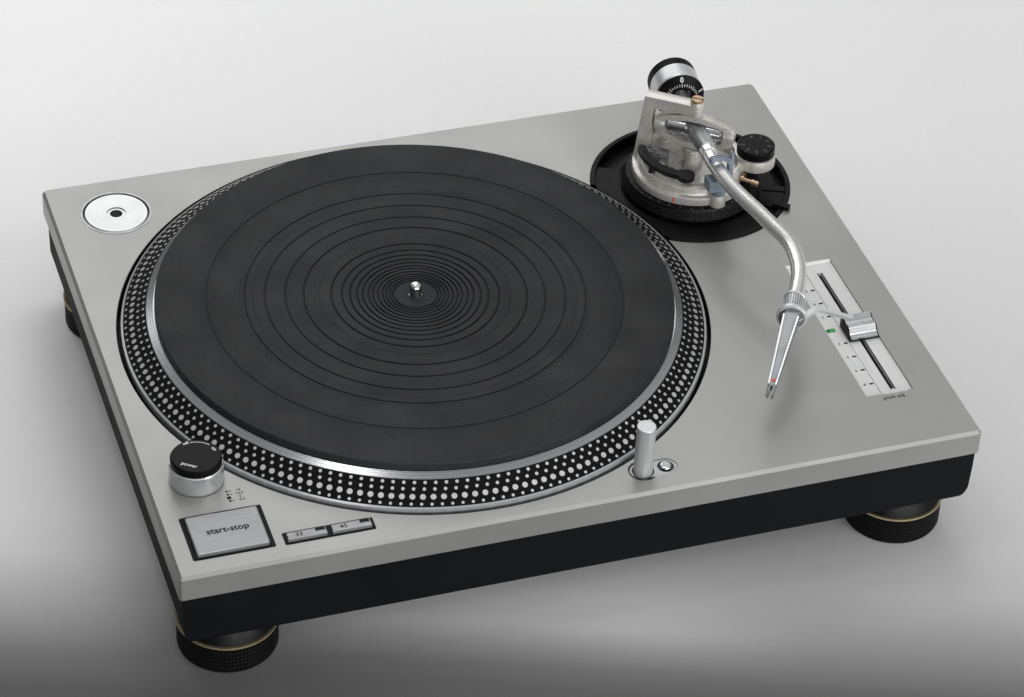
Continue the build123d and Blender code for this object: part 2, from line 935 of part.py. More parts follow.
# Stator coils: ring of flat windings on the motor board
with BuildPart() as stator_coils:
    with BuildSketch(flat(platter_x, platter_y, relief_z)):
        with PolarLocations(coil_ring_r, coil_count):
            RectangleRounded(coil_long, coil_wide, coil_round)
            Circle(coil_core_r, mode=Mode.SUBTRACT)
    extrude(amount=coil_h)
stator_coils.part.label = "stator_coils"
export_step(stator_coils.part, "parts/stator_coils.step")

# Start-stop bezel: black cup round the button
with BuildPart() as start_stop_bezel:
    with BuildSketch(flat(start_x, start_y, top_z - start_depth)):
        RectangleRounded(
            start_hole_w - 2 * seat_gap,
            start_hole_d - 2 * seat_gap,
            start_hole_r,
        )
    extrude(amount=start_depth - start_sink)
    with BuildSketch(flat(start_x, start_y, top_z - start_depth + start_floor_t)):
        Rectangle(start_w + 2 * start_side, start_d + 2 * start_side)
    extrude(amount=start_depth, mode=Mode.SUBTRACT)
    with BuildSketch(flat(start_x, start_y, top_z - start_depth + small_edge)):
        Circle(start_stem_r + run_gap)
    extrude(amount=start_floor_t, mode=Mode.SUBTRACT)
start_stop_bezel.part.label = "start_stop_bezel"
export_step(start_stop_bezel.part, "parts/start_stop_bezel.step")

# Start-stop button
with BuildPart() as start_stop_button:
    with BuildSketch(flat(start_x, start_y, top_z + start_low)):
        RectangleRounded(start_w, start_d, start_hole_r)
    extrude(amount=start_up - start_low)
    fillet(start_stop_button.faces().sort_by(Axis.Z)[-1].edges(), start_edge_r)
    with BuildSketch(flat(start_x, start_y, top_z + start_low)):
        Circle(start_stem_r)
    extrude(amount=start_stem_low - start_low)
start_stop_button.part.label = "start_stop_button"
export_step(start_stop_button.part, "parts/start_stop_button.step")

# Speed bezel: black frame with two wells and a divider
with BuildPart() as speed_bezel:
    with BuildSketch(flat(speed_x, speed_y, top_z - speed_depth)):
        RectangleRounded(
            speed_hole_w - 2 * seat_gap,
            speed_hole_d - 2 * seat_gap,
            speed_hole_r,
        )
    extrude(amount=speed_depth - speed_sink)
    with BuildSketch(flat(speed_x, speed_y, top_z - speed_sink - speed_well)):
        with GridLocations(2 * speed_shift, speed_d, 2, 1):
            Rectangle(speed_w + 2 * speed_side, speed_d + 2 * speed_side)
    extrude(amount=speed_depth, mode=Mode.SUBTRACT)
    with BuildSketch(flat(speed_x, speed_y, top_z - speed_depth - over)):
        with GridLocations(2 * speed_shift, speed_d, 2, 1):
            Circle(speed_stem_r + run_gap)
    extrude(amount=speed_depth, mode=Mode.SUBTRACT)
speed_bezel.part.label = "speed_bezel"
export_step(speed_bezel.part, "parts/speed_bezel.step")

# The two speed buttons
speed_names = ("speed_button_33", "speed_button_45")
speed_places = (speed_x - speed_shift, speed_x + speed_shift)
for speed_name, speed_place in zip(speed_names, speed_places):
    with BuildPart() as speed_button:
        with BuildSketch(flat(speed_place, speed_y, top_z + speed_low)):
            Rectangle(speed_w, speed_d)
        extrude(amount=speed_up - speed_low)
        fillet(speed_button.faces().sort_by(Axis.Z)[-1].edges(), speed_edge_r)
        with BuildSketch(flat(speed_place, speed_y, top_z + speed_low)):
            Circle(speed_stem_r)
        extrude(amount=speed_stem_low - speed_low)
    speed_button.part.label = speed_name
    export_step(speed_button.part, f"parts/{speed_name}.step")

# Strobe tower: silver post whose window faces the platter rim
window_plane = Plane(origin=(tower_x, tower_y, top_z)).rotated((0, 0, window_angle))
with BuildPart() as strobe_tower:
    with BuildSketch(upright(tower_x, tower_y, top_z)):
        with BuildLine():
            Polyline(
                (0, 0),
                (tower_foot_r, 0),
                (tower_foot_r, tower_foot_h),
                (tower_r, tower_foot_h),
                (tower_top_r, tower_h - tower_edge_r),
                (tower_top_r - tower_edge_r, tower_h),
                (knob_stem_r + run_gap, tower_h),
                (knob_stem_r + run_gap, knob_stem_low - air_gap),
                (0, knob_stem_low - air_gap),
                close=True,
            )
        make_face()
    revolve(axis=upright_axis(tower_x, tower_y))
    with BuildSketch(window_plane.offset(window_low)):
        with Locations((tower_r, 0)):
            Rectangle(2 * window_depth, window_w)
    extrude(amount=window_h, mode=Mode.SUBTRACT)
strobe_tower.part.label = "strobe_tower"
export_step(strobe_tower.part, "parts/strobe_tower.step")

# Strobe lens: red window piece let into the tower
with BuildPart() as strobe_lens:
    with BuildSketch(window_plane.offset(window_low)):
        Circle(tower_top_r - window_sink)
        with Locations((tower_r, 0)):
            Rectangle(2 * window_depth, window_w, mode=Mode.INTERSECT)
    extrude(amount=window_h)
strobe_lens.part.label = "strobe_lens"
export_step(strobe_lens.part, "parts/strobe_lens.step")

# Power knob on top of the tower
with BuildPart() as power_knob:
    with BuildSketch(flat(tower_x, tower_y, top_z + tower_h + air_gap)):
        Circle(knob_r)
    extrude(amount=knob_h)
    chamfer(power_knob.faces().sort_by(Axis.Z)[-1].edges(), knob_edge_r)
    with BuildSketch(flat(tower_x, tower_y, top_z + knob_stem_low)):
        Circle(knob_stem_r)
    extrude(amount=tower_h + knob_h - knob_stem_low)
power_knob.part.label = "power_knob"
export_step(power_knob.part, "parts/power_knob.step")

# Pitch panel: light insert with the long slot
panel_z = top_z - pitch_sink - pitch_t
with BuildPart() as pitch_panel:
    with BuildSketch(flat(pitch_x, pitch_y, panel_z)):
        RectangleRounded(pitch_w - 2 * seat_gap, pitch_d - 2 * seat_gap, pitch_corner_r)
        with Locations((slot_x - pitch_x, slot_y - pitch_y)):
            Rectangle(slot_w, slot_d, mode=Mode.SUBTRACT)
    extrude(amount=pitch_t)
pitch_panel.part.label = "pitch_panel"
export_step(pitch_panel.part, "parts/pitch_panel.step")

# Slide resistor under the panel
with BuildPart() as pitch_resistor:
    with BuildSketch(flat(slot_x, slot_y, panel_z - resistor_h)):
        Rectangle(resistor_w, resistor_d)
    extrude(amount=resistor_h)
    with BuildSketch(flat(slot_x, slot_y, panel_z - resistor_groove_h)):
        Rectangle(resistor_groove_w, slot_d)
    extrude(amount=resistor_h, mode=Mode.SUBTRACT)
pitch_resistor.part.label = "pitch_resistor"
export_step(pitch_resistor.part, "parts/pitch_resistor.step")

# Pitch knob: black core with cheeks and the blade through the slot
slider_plane = sideways(slider_x, slider_y, top_z - pitch_sink)
slider_top = [(point[0], point[1]) for point in slider_side_points]
with BuildPart() as pitch_knob:
    with BuildSketch(slider_plane):
        with BuildLine():
            Polyline(
                slider_top[0],
                (-slider_d / 2, air_gap),
                (slider_d / 2, air_gap),
                slider_top[-1],
            )
            Spline(*slider_top)
        make_face()
    extrude(amount=slider_w / 2, both=True)
    with BuildSketch(flat(slot_x, slider_y, top_z + blade_low)):
        Rectangle(blade_w, blade_d)
    extrude(amount=air_gap - pitch_sink - blade_low)
pitch_knob.part.label = "pitch_knob"
export_step(pitch_knob.part, "parts/pitch_knob.step")

# Chrome saddle on the pitch knob
with BuildPart() as pitch_knob_saddle:
    with BuildSketch(slider_plane):
        with BuildLine():
            Spline(*slider_top)
            Line(slider_top[-1], (slider_top[-1][0], slider_top[-1][1] + saddle_t))
            Spline(*[(point[0], point[1] + saddle_t) for point in slider_top])
            Line(slider_top[0], (slider_top[0][0], slider_top[0][1] + saddle_t))
        make_face()
    extrude(amount=slider_w / 2 - cheek_t, both=True)
pitch_knob_saddle.part.label = "pitch_knob_saddle"
export_step(pitch_knob_saddle.part, "parts/pitch_knob_saddle.step")

# Lamp bezel: pill-shaped plate, its guide tube and the well of the lamp button
pill_z = top_z - pill_sink - pill_t
with BuildPart() as lamp_bezel:
    with BuildSketch(flat(pill_x, pill_y, pill_z)):
        SlotOverall(pill_w - 2 * seat_gap, pill_d - 2 * seat_gap)
    extrude(amount=pill_t)
    with BuildSketch(flat(lamp_x, lamp_y, guide_bottom_z)):
        Circle(guide_r - seat_gap)
    extrude(amount=pill_z - guide_bottom_z)
    with BuildSketch(flat(lamp_x, lamp_y, guide_bottom_z - over)):
        Circle(lamp_r + run_gap)
    extrude(amount=top_z, mode=Mode.SUBTRACT)
    with BuildSketch(flat(lamp_x, lamp_y, pill_z)):
        Circle(lamp_hole_r)
    extrude(amount=pill_t + over, mode=Mode.SUBTRACT)
    with BuildSketch(flat(lamp_button_x, lamp_button_y, pill_z - over)):
        Circle(lamp_button_hole_r)
    extrude(amount=pill_t + 2 * over, mode=Mode.SUBTRACT)
lamp_bezel.part.label = "lamp_bezel"
export_step(lamp_bezel.part, "parts/lamp_bezel.step")

# Stylus lamp: pop-up post with a mouth near its top that lights the stylus
with BuildPart() as target_lamp:
    with BuildSketch(flat(lamp_x, lamp_y, top_z + lamp_low)):
        Circle(lamp_r)
    extrude(amount=lamp_top - lamp_low)
    fillet(target_lamp.faces().sort_by(Axis.Z)[-1].edges(), lamp_edge_r)
    with BuildSketch(sideways(lamp_x, lamp_y, top_z + lamp_top)):
        with BuildLine():
            Polyline(
                (lamp_r + over, -lamp_mouth_h),
                (lamp_r - lamp_mouth_depth, -lamp_mouth_h / 2),
                (lamp_r + over, -small_edge),
                close=True,
            )
        make_face()
    extrude(amount=lamp_r + over, both=True, mode=Mode.SUBTRACT)
target_lamp.part.label = "target_lamp"
export_step(target_lamp.part, "parts/target_lamp.step")

# Lamp button, with room for its travel under it
lamp_button_z = pill_z + lamp_button_travel + air_gap
with BuildPart() as lamp_button:
    with BuildSketch(flat(lamp_button_x, lamp_button_y, lamp_button_z)):
        Circle(lamp_button_r)
    extrude(amount=top_z + lamp_button_up - lamp_button_z)
    fillet(lamp_button.faces().sort_by(Axis.Z)[-1].edges(), lamp_button_up)
    with BuildSketch(flat(lamp_button_x, lamp_button_y, top_z + lamp_button_stem_low)):
        Circle(lamp_button_stem_r)
    extrude(amount=-lamp_button_stem_low)
lamp_button.part.label = "lamp_button"
export_step(lamp_button.part, "parts/lamp_button.step")

# Adaptor cup: lined well with a thin lip on the plate
with BuildPart() as adaptor_cup:
    with BuildSketch(upright(cup_x, cup_y, top_z)):
        with BuildLine():
            Polyline(
                (0, -cup_depth - cup_wall),
                (cup_r - seat_gap, -cup_depth - cup_wall),
                (cup_r - seat_gap, 0),
                (cup_lip_r, 0),
                (cup_lip_r, cup_lip_h),
                (cup_r - seat_gap - cup_wall, cup_lip_h),
                (cup_r - seat_gap - cup_wall, -cup_depth),
                (0, -cup_depth),
                close=True,
            )
        make_face()
    revolve(axis=upright_axis(cup_x, cup_y))
adaptor_cup.part.label = "adaptor_cup"
export_step(adaptor_cup.part, "parts/adaptor_cup.step")

# 45 adaptor: turned disc with the spindle hole
adaptor_low = adaptor_base_gap - cup_depth
adaptor_top = adaptor_low + adaptor_h + adaptor_edge
with BuildPart() as adaptor_45:
    with BuildSketch(upright(cup_x, cup_y, top_z)):
        with BuildLine():
            Polyline(
                (adaptor_hole_r, adaptor_low),
                (adaptor_foot_r, adaptor_low),
                (adaptor_foot_r, adaptor_low + adaptor_foot_h),
                (adaptor_r, adaptor_low + adaptor_foot_h),
                (adaptor_r, adaptor_top - adaptor_edge),
                (adaptor_r - adaptor_edge, adaptor_top),
                (adaptor_eye_r, adaptor_top),
                (adaptor_eye_r, adaptor_top - adaptor_eye_depth),
                (adaptor_hole_r, adaptor_top - adaptor_eye_depth),
                close=True,
            )
        make_face()
    revolve(axis=upright_axis(cup_x, cup_y))
adaptor_45.part.label = "adaptor_45"
export_step(adaptor_45.part, "parts/adaptor_45.step")

# Tonearm dish: black ring let into the plate, cut back along the platter recess
lock_from_angle = lock_angle - lock_sweep_angle - lock_slot_angle
lock_to_angle = lock_angle + lock_sweep_angle + lock_slot_angle
with BuildPart() as tonearm_dish:
    with BuildSketch(upright(pivot_x, pivot_y, top_z)):
        with BuildLine():
            Polyline(
                (dish_hole_r, -dish_depth),
                (dish_r - seat_gap, -dish_depth),
                (dish_r - seat_gap, dish_rim_up - small_edge),
                (dish_r - seat_gap - small_edge, dish_rim_up),
                (dish_r - dish_rim_w + small_edge, dish_rim_up),
                (dish_r - dish_rim_w, dish_rim_up - small_edge),
                (dish_r - dish_rim_w, dish_floor),
                (dish_shelf_r, dish_floor),
                (dish_shelf_r, dish_shelf),
                (dish_hole_r, dish_shelf),
                close=True,
            )
        make_face()
    revolve(axis=upright_axis(pivot_x, pivot_y))
    with BuildSketch(flat(platter_x, platter_y, top_z - dish_depth - over)):
        Circle(recess_r + dish_cut_gap)
    extrude(amount=dish_depth + 3 * over, mode=Mode.SUBTRACT)
    dish_wall_r = dish_r - dish_rim_w
    with BuildSketch(flat(pivot_x, pivot_y, top_z - dish_pocket_depth)):
        make_face(
            ring_sector(
                dish_pocket_in_r,
                dish_wall_r,
                dish_pocket_from_angle,
                dish_pocket_to_angle,
            )
        )
    extrude(amount=dish_depth, mode=Mode.SUBTRACT)
    with BuildSketch(flat(pivot_x, pivot_y, top_z - dish_pocket_depth)):
        make_face(
            ring_sector(
                dish_channel_in_r,
                dish_wall_r,
                dish_channel_from_angle,
                dish_channel_to_angle,
            )
        )
    extrude(amount=dish_depth, mode=Mode.SUBTRACT)
    with BuildSketch(flat(pivot_x, pivot_y, top_z + dish_shelf)):
        make_face(ring_sector(dish_shelf_r - over, dish_wall_r, lock_from_angle, lock_to_angle))
    extrude(amount=dish_depth, mode=Mode.SUBTRACT)
tonearm_dish.part.label = "tonearm_dish"
export_step(tonearm_dish.part, "parts/tonearm_dish.step")

# Arm pillar: fixed tube that guides the arm base up and down
with BuildPart() as arm_pillar:
    with BuildSketch(flat(pivot_x, pivot_y, top_z - dish_depth)):
        Circle(pillar_flange_r)
    extrude(amount=pillar_flange_t)
    with BuildSketch(flat(pivot_x, pivot_y, top_z - dish_depth)):
        Circle(pillar_r)
    extrude(amount=dish_depth + pillar_top)
    with BuildSketch(flat(pivot_x, pivot_y, top_z - dish_depth - over)):
        Circle(pillar_bore_r)
    extrude(amount=dish_depth + pillar_top + 2 * over, mode=Mode.SUBTRACT)
arm_pillar.part.label = "arm_pillar"
export_step(arm_pillar.part, "parts/arm_pillar.step")

# Arm lock lever: flat ring under the height ring, arm over the rim and a finger tab
lock_plane = Plane(origin=pivot).rotated((0, 0, lock_angle))
lock_rim_low = dish_rim_up + air_gap
with BuildPart() as arm_lock_lever:
    with BuildSketch(lock_plane.offset(lock_low)):
        Circle(lock_ring_out_r)
        with Locations(((lock_ring_in_r + dish_r - dish_rim_w - air_gap) / 2, 0)):
            Rectangle(dish_r - dish_rim_w - air_gap - lock_ring_in_r, lock_arm_w)
        Circle(lock_ring_in_r, mode=Mode.SUBTRACT)
    extrude(amount=lock_t)
    with BuildSketch(lock_plane.offset(lock_low)):
        with Locations((dish_r - dish_rim_w - air_gap - lock_arm_w / 2, 0)):
            Rectangle(lock_arm_w, lock_arm_w)
    extrude(amount=lock_rim_low + lock_rim_t - lock_low)
    with BuildSketch(lock_plane.offset(lock_rim_low)):
        with Locations(((dish_r - dish_rim_w - lock_arm_w + lock_tab_r) / 2, 0)):
            Rectangle(lock_tab_r - dish_r + dish_rim_w + lock_arm_w, lock_arm_w)
    extrude(amount=lock_rim_t)
    with BuildSketch(lock_plane.offset(lock_tab_low)):
        with Locations(((dish_r + air_gap + lock_tab_r) / 2, 0)):
            Rectangle(lock_tab_r - dish_r - air_gap, lock_arm_w)
    extrude(amount=lock_rim_low - lock_tab_low)
arm_lock_lever.part.label = "arm_lock_lever"
export_step(arm_lock_lever.part, "parts/arm_lock_lever.step")

# Height ring: turned ring that lifts the arm base
with BuildPart() as height_ring:
    with BuildSketch(upright(pivot_x, pivot_y, top_z)):
        with BuildLine():
            Polyline(
                (ring_bore_r, ring_low),
                (ring_r, ring_low),
                (ring_top_r, ring_side_top),
                (ring_top_r - small_edge, ring_top),
                (ring_bore_r, ring_top),
                close=True,
            )
        make_face()
    revolve(axis=upright_axis(pivot_x, pivot_y))
height_ring.part.label = "height_ring"
export_step(height_ring.part, "parts/height_ring.step")

# Arm base: one casting with the flange, drum and bowl, the tower and the side boss
with BuildPart() as arm_base:
    with BuildSketch(upright(pivot_x, pivot_y, top_z)):
        with BuildLine():
            Polyline(
                (0, ceiling),
                (pillar_r + run_gap, ceiling),
                (pillar_r + run_gap, barrel_low),
                (barrel_r, barrel_low),
                (barrel_r, flange_low),
                (flange_r, flange_low),
                (flange_r, flange_top - small_edge),
                (flange_r - small_edge, flange_top),
                (drum_r, flange_top),
                (drum_r, drum_top - drum_edge_r),
                (drum_r - drum_edge_r, drum_top),
                (bowl_r + small_edge, drum_top),
                (bowl_r, drum_top - small_edge),
                (bowl_r, bowl_floor),
                (axle_post_r, bowl_floor),
                (axle_post_r, axle_post_top),
                (axle_pin_r, axle_post_top),
                (axle_pin_r, axle_post_top + axle_pin_h),
                (0, axle_post_top + axle_pin_h),
                close=True,
            )
        make_face()
    revolve(axis=upright_axis(pivot_x, pivot_y))
    with BuildSketch(reach_plane.offset(flange_low)):
        with Locations((flat_s + flange_r / 2, 0)):
            Rectangle(flange_r, 2 * flange_r)
    extrude(amount=drum_top, mode=Mode.SUBTRACT)
    with BuildSketch(yoke_plane):
        with BuildLine():
            Polyline(
                (-arm_tower_in, arm_tower_low),
                (-arm_tower_in, arm_tower_bar_low),
                (0, arm_tower_bar_low),
                (0, arm_tower_bar_top),
                (-arm_tower_out_top, arm_tower_top),
                (-arm_tower_out_low, arm_tower_low),
                close=True,
            )
        make_face()
    extrude(amount=arm_tower_t / 2, both=True)
    with BuildSketch(flat(pivot_x, pivot_y, top_z + top_bearing_low)):
        Circle(top_bearing_r)
    extrude(amount=top_bearing_top - top_bearing_low)
    with BuildSketch(flat(pivot_x, pivot_y, top_z + top_bearing_low)):
        Circle(axle_pin_r)
    extrude(amount=-axle_pin_h)
    with BuildSketch(flat(pivot_x + bias_x, pivot_y + bias_y, top_z + bias_boss_low)):
        Circle(bias_boss_r)
    extrude(amount=bias_boss_top - bias_boss_low)
    with BuildSketch(flat(pivot_x, pivot_y + bias_y, top_z + bias_bracket_low)):
        with Locations(((bias_root_x + bias_x) / 2, 0)):
            Rectangle(bias_x - bias_root_x, bias_bracket_w)
    extrude(amount=bias_bracket_top - bias_bracket_low)
    with BuildSketch(flat(pivot_x + bias_x, pivot_y + bias_y, top_z + bias_boss_top - bias_stem_h)):
        Circle(bias_stem_r + run_gap)
    extrude(amount=bias_stem_h + over, mode=Mode.SUBTRACT)
    with BuildSketch(flat(pivot_x + rest_x, pivot_y + rest_y, top_z + flange_low)):
        Circle(rest_post_r)
    extrude(amount=rest_post_top - flange_low)
    with BuildSketch(flat(pivot_x + rest_x, pivot_y + rest_y, top_z + rest_post_top)):
        Circle(rest_post_r)
    extrude(amount=drum_top, mode=Mode.SUBTRACT)
    with BuildSketch(flat(pivot_x + lift_stem_x, pivot_y + lift_stem_y, top_z + lift_stem_low - air_gap)):
        Circle(lift_stem_r + run_gap)
    extrude(amount=drum_top, mode=Mode.SUBTRACT)
    cue_bore_point = reach_plane.from_local_coords(Vector(cue_stem_in, cue_t, cue_z))
    with BuildSketch(along(cue_bore_point, reach_dir)):
        Circle(cue_stem_r + run_gap)
    extrude(amount=flange_r, mode=Mode.SUBTRACT)
arm_base.part.label = "arm_base"
export_step(arm_base.part, "parts/arm_base.step")

# Brass screw over the top bearing of the arm tower
with BuildPart() as top_bearing_screw:
    with BuildSketch(flat(pivot_x, pivot_y, top_z + top_bearing_top)):
        Circle(top_screw_r)
    extrude(amount=top_screw_h)
    chamfer(top_bearing_screw.faces().sort_by(Axis.Z)[-1].edges(), small_edge)
    with BuildSketch(reach_plane.offset(top_bearing_top + top_screw_h - top_screw_slot_depth)):
        Rectangle(3 * top_screw_r, top_screw_slot_w)
    extrude(amount=top_screw_h, mode=Mode.SUBTRACT)
top_bearing_screw.part.label = "top_bearing_screw"
export_step(top_bearing_screw.part, "parts/top_bearing_screw.step")

# Anti-skate knob on its boss
with BuildPart() as anti_skate_knob:
    with BuildSketch(flat(pivot_x + bias_x, pivot_y + bias_y, top_z + bias_boss_top + air_gap)):
        Circle(bias_cap_r)
    extrude(amount=bias_cap_h)
    fillet(anti_skate_knob.faces().sort_by(Axis.Z)[-1].edges(), bias_cap_edge_r)
    with BuildSketch(flat(pivot_x + bias_x, pivot_y + bias_y, top_z + bias_boss_top + air_gap)):
        Circle(bias_stem_r)
    extrude(amount=-bias_stem_h)
anti_skate_knob.part.label = "anti_skate_knob"
export_step(anti_skate_knob.part, "parts/anti_skate_knob.step")

# Gimbal yoke: closed frame that turns about the upright arm axis
yoke_ring = list(yoke_half) + [(-point[0], point[1]) for point in reversed(yoke_half)]
yoke_window = list(yoke_window_half) + [(-point[0], point[1]) for point in reversed(yoke_window_half)]
pitch_centre = pivot + Vector(0, 0, pitch_z)
with BuildPart() as gimbal_yoke:
    with BuildSketch(yoke_plane):
        with BuildLine():
            Polyline(*yoke_ring, close=True)
        make_face()
        with BuildLine():
            Polyline(*yoke_window, close=True)
        make_face(mode=Mode.SUBTRACT)
    extrude(amount=yoke_t / 2, both=True)
    for side in (-1, 1):
        boss_in_point = pitch_centre + reach_dir * side * yoke_boss_in
        boss_out_point = pitch_centre + reach_dir * side * yoke_boss_out
        with BuildSketch(along(boss_in_point, reach_dir * side)):
            Circle(yoke_boss_r)
        extrude(amount=yoke_boss_out - yoke_boss_in)
        with BuildSketch(along(boss_out_point, -reach_dir * side)):
            Circle(pivot_screw_r)
        extrude(amount=yoke_boss_out - yoke_window_half[1][0] + over, mode=Mode.SUBTRACT)
    for height in (yoke_half[0][1], yoke_half[-1][1]):
        with BuildSketch(flat(pivot_x, pivot_y, top_z + height)):
            Circle(axle_pin_r + run_gap)
        extrude(amount=axle_pin_h, both=True, mode=Mode.SUBTRACT)
gimbal_yoke.part.label = "gimbal_yoke"
export_step(gimbal_yoke.part, "parts/gimbal_yoke.step")

# Two pivot screws of the gimbal, one on each side
with BuildPart() as pivot_screws:
    for side in (-1, 1):
        boss_in_point = pitch_centre + reach_dir * side * yoke_boss_in
        boss_out_point = pitch_centre + reach_dir * side * yoke_boss_out
        with BuildSketch(along(boss_in_point, reach_dir * side)):
            Circle(pivot_screw_r)
        extrude(amount=yoke_boss_out - yoke_boss_in)
        with BuildSketch(along(boss_out_point, reach_dir * side)):
            Circle(pivot_screw_head_r)
        extrude(amount=pivot_screw_head_t)
        with BuildSketch(along(boss_in_point, -reach_dir * side)):
            Circle(pivot_tip_r)
        extrude(amount=yoke_boss_in - pivot_tip_in)
pivot_screws.part.label = "pivot_screws"
export_step(pivot_screws.part, "parts/pivot_screws.step")

# Arm neck: grey casting on its cross shaft, with the rear shaft for the weight
rear_dir = Vector(sin(radians(rear_turn_angle)), cos(radians(rear_turn_angle)), 0)
rear_plane = Plane(origin=pitch_centre, x_dir=(0, 0, 1), z_dir=rear_dir)
with BuildPart() as arm_neck:
    with BuildSketch(upright(pivot_x, pivot_y + neck_back, top_z)):
        with Locations((0, pitch_z)):
            RectangleRounded(neck_w, neck_h, neck_round)
    extrude(amount=neck_back + neck_front)
    with BuildSketch(along(pitch_centre, reach_dir)):
        Circle(shaft_r)
    extrude(amount=shaft_reach, both=True)
    for side in (-1, 1):
        shaft_end_point = pitch_centre + reach_dir * side * shaft_reach
        with BuildSketch(along(shaft_end_point, -reach_dir * side)):
            Circle(pivot_tip_r + run_gap)
        extrude(amount=shaft_reach - pivot_tip_in + air_gap, mode=Mode.SUBTRACT)
    with BuildSketch(rear_plane.offset(rear_start)):
        Circle(rear_r)
    extrude(amount=rear_end - rear_start)
arm_neck.part.label = "arm_neck"
export_step(arm_neck.part, "parts/arm_neck.step")

# Tone tube: S-shaped tube from the neck to the headshell socket
socket_dir = (arm_point(nut_point) - arm_point(tube_points[-1])).normalized()
socket_plane = Plane(origin=arm_point(tube_points[-1]), z_dir=socket_dir)
with BuildPart() as arm_tube:
    with BuildLine() as tube_path:
        Spline(*[arm_point(point) for point in tube_points])
    with BuildSketch(Plane(origin=tube_path.line @ 0, z_dir=tube_path.line % 0)):
        Circle(tube_r)
    sweep()
    with BuildSketch(upright(pivot_x + tube_points[0][0], pivot_y - neck_front, top_z + tube_points[0][2])):
        Circle(collar_r)
    extrude(amount=collar_h)
    with BuildSketch(socket_plane.offset(-small_edge)):
        Circle(socket_r)
    extrude(amount=socket_len + small_edge)
    with BuildSketch(socket_plane.offset(socket_len - socket_bore_len)):
        Circle(socket_bore_r)
    extrude(amount=socket_len, mode=Mode.SUBTRACT)
arm_tube.part.label = "arm_tube"
export_step(arm_tube.part, "parts/arm_tube.step")

# Locking nut round the socket
with BuildPart() as locking_nut:
    with BuildSketch(socket_plane.offset(nut_start)):
        Circle(nut_r)
    extrude(amount=nut_len)
    fillet(locking_nut.edges().filter_by(GeomType.CIRCLE), nut_round)
    with BuildSketch(socket_plane.offset(nut_start - over)):
        Circle(socket_r + run_gap)
    extrude(amount=nut_len + 2 * over, mode=Mode.SUBTRACT)
locking_nut.part.label = "locking_nut"
export_step(locking_nut.part, "parts/locking_nut.step")

# Headshell plug: contact barrel in the socket, let into the headshell's collar
shell_start = nut_start + nut_len + shell_gap
with BuildPart() as headshell_plug:
    with BuildSketch(socket_plane.offset(shell_start - plug_len)):
        Circle(plug_r)
    extrude(amount=plug_len + plug_seat)
headshell_plug.part.label = "headshell_plug"
export_step(headshell_plug.part, "parts/headshell_plug.step")

# Headshell: collar, tapered one-piece body with a forked tip, finger lift
shell_root = socket_plane.origin + socket_dir * (shell_start + shell_collar_t)
shell_end = arm_point(shell_tip)
shell_dir = (shell_end - shell_root).normalized()
shell_side = Vector(0, 0, 1).cross(shell_dir).normalized()
shell_len = (shell_end - shell_root).length
shell_sections = (
    (-shell_collar_t / 2, shell_neck_w, shell_neck_h),
    (shell_mid_share * shell_len, shell_mid_w, shell_mid_h),
    (shell_len, shell_tip_w, shell_tip_h),
)
with BuildPart() as headshell:
    with BuildSketch(socket_plane.offset(shell_start)):
        Circle(shell_collar_r)
    extrude(amount=shell_collar_t)
    for reach, section_w, section_h in shell_sections:
        with BuildSketch(Plane(origin=shell_root + shell_dir * reach, x_dir=shell_side, z_dir=shell_dir)):
            RectangleRounded(section_w, section_h, shell_round)
    loft()
    with BuildSketch(socket_plane.offset(shell_start - over)):
        Circle(plug_r + run_gap)
    extrude(amount=over + plug_seat, mode=Mode.SUBTRACT)
    with BuildSketch(Plane(origin=shell_end, x_dir=shell_side, z_dir=-shell_dir)):
        Rectangle(fork_w, 2 * shell_tip_h)
    extrude(amount=fork_len, mode=Mode.SUBTRACT)
    stylus_root = shell_end - shell_dir * (fork_len + stylus_back)
    with BuildSketch(Plane(origin=stylus_root, z_dir=(0, 0, -1))):
        Circle(stylus_r)
    extrude(amount=stylus_len)
    with BuildLine() as lift_path:
        Spline(*[arm_point(point) for point in lift_points])
    with BuildSketch(Plane(origin=lift_path.line @ 0, z_dir=lift_path.line % 0)):
        Circle(lift_r)
    sweep()
headshell.part.label = "headshell"
export_step(headshell.part, "parts/headshell.step")

# Counterweight with its hub, and the stylus force dial that turns on the hub
rear_side_plane = Plane(origin=pitch_centre, x_dir=rear_dir, z_dir=rear_dir.cross(Vector(0, 0, 1)))
rear_axis = Axis(pitch_centre, rear_dir)
weight_start = dial_start + dial_t + weight_gap
weight_end = weight_start + weight_t + weight_band_t
with BuildPart() as counterweight:
    with BuildSketch(rear_side_plane):
        with BuildLine():
            Polyline(
                (weight_start - weight_hub_len, rear_r + run_gap),
                (weight_start - weight_hub_len, dial_bore_r - run_gap),
                (weight_start, dial_bore_r - run_gap),
                (weight_start, weight_r - weight_edge),
                (weight_start + weight_edge, weight_r),
                (weight_start + weight_t, weight_r),
                (weight_start + weight_t, weight_band_r),
                (weight_end - small_edge, weight_band_r),
                (weight_end, weight_band_r - small_edge),
                (weight_end, rear_r + run_gap),
                close=True,
            )
        make_face()
    revolve(axis=rear_axis)
counterweight.part.label = "counterweight"
export_step(counterweight.part, "parts/counterweight.step")

with BuildPart() as force_dial:
    with BuildSketch(rear_side_plane):
        with BuildLine():
            Polyline(
                (dial_start, dial_bore_r),
                (dial_start, dial_front_r),
                (dial_start + dial_cone_t, dial_r),
                (dial_start + dial_t, dial_r),
                (dial_start + dial_t, dial_bore_r),
                close=True,
            )
        make_face()
    revolve(axis=rear_axis)
force_dial.part.label = "force_dial"
export_step(force_dial.part, "parts/force_dial.step")

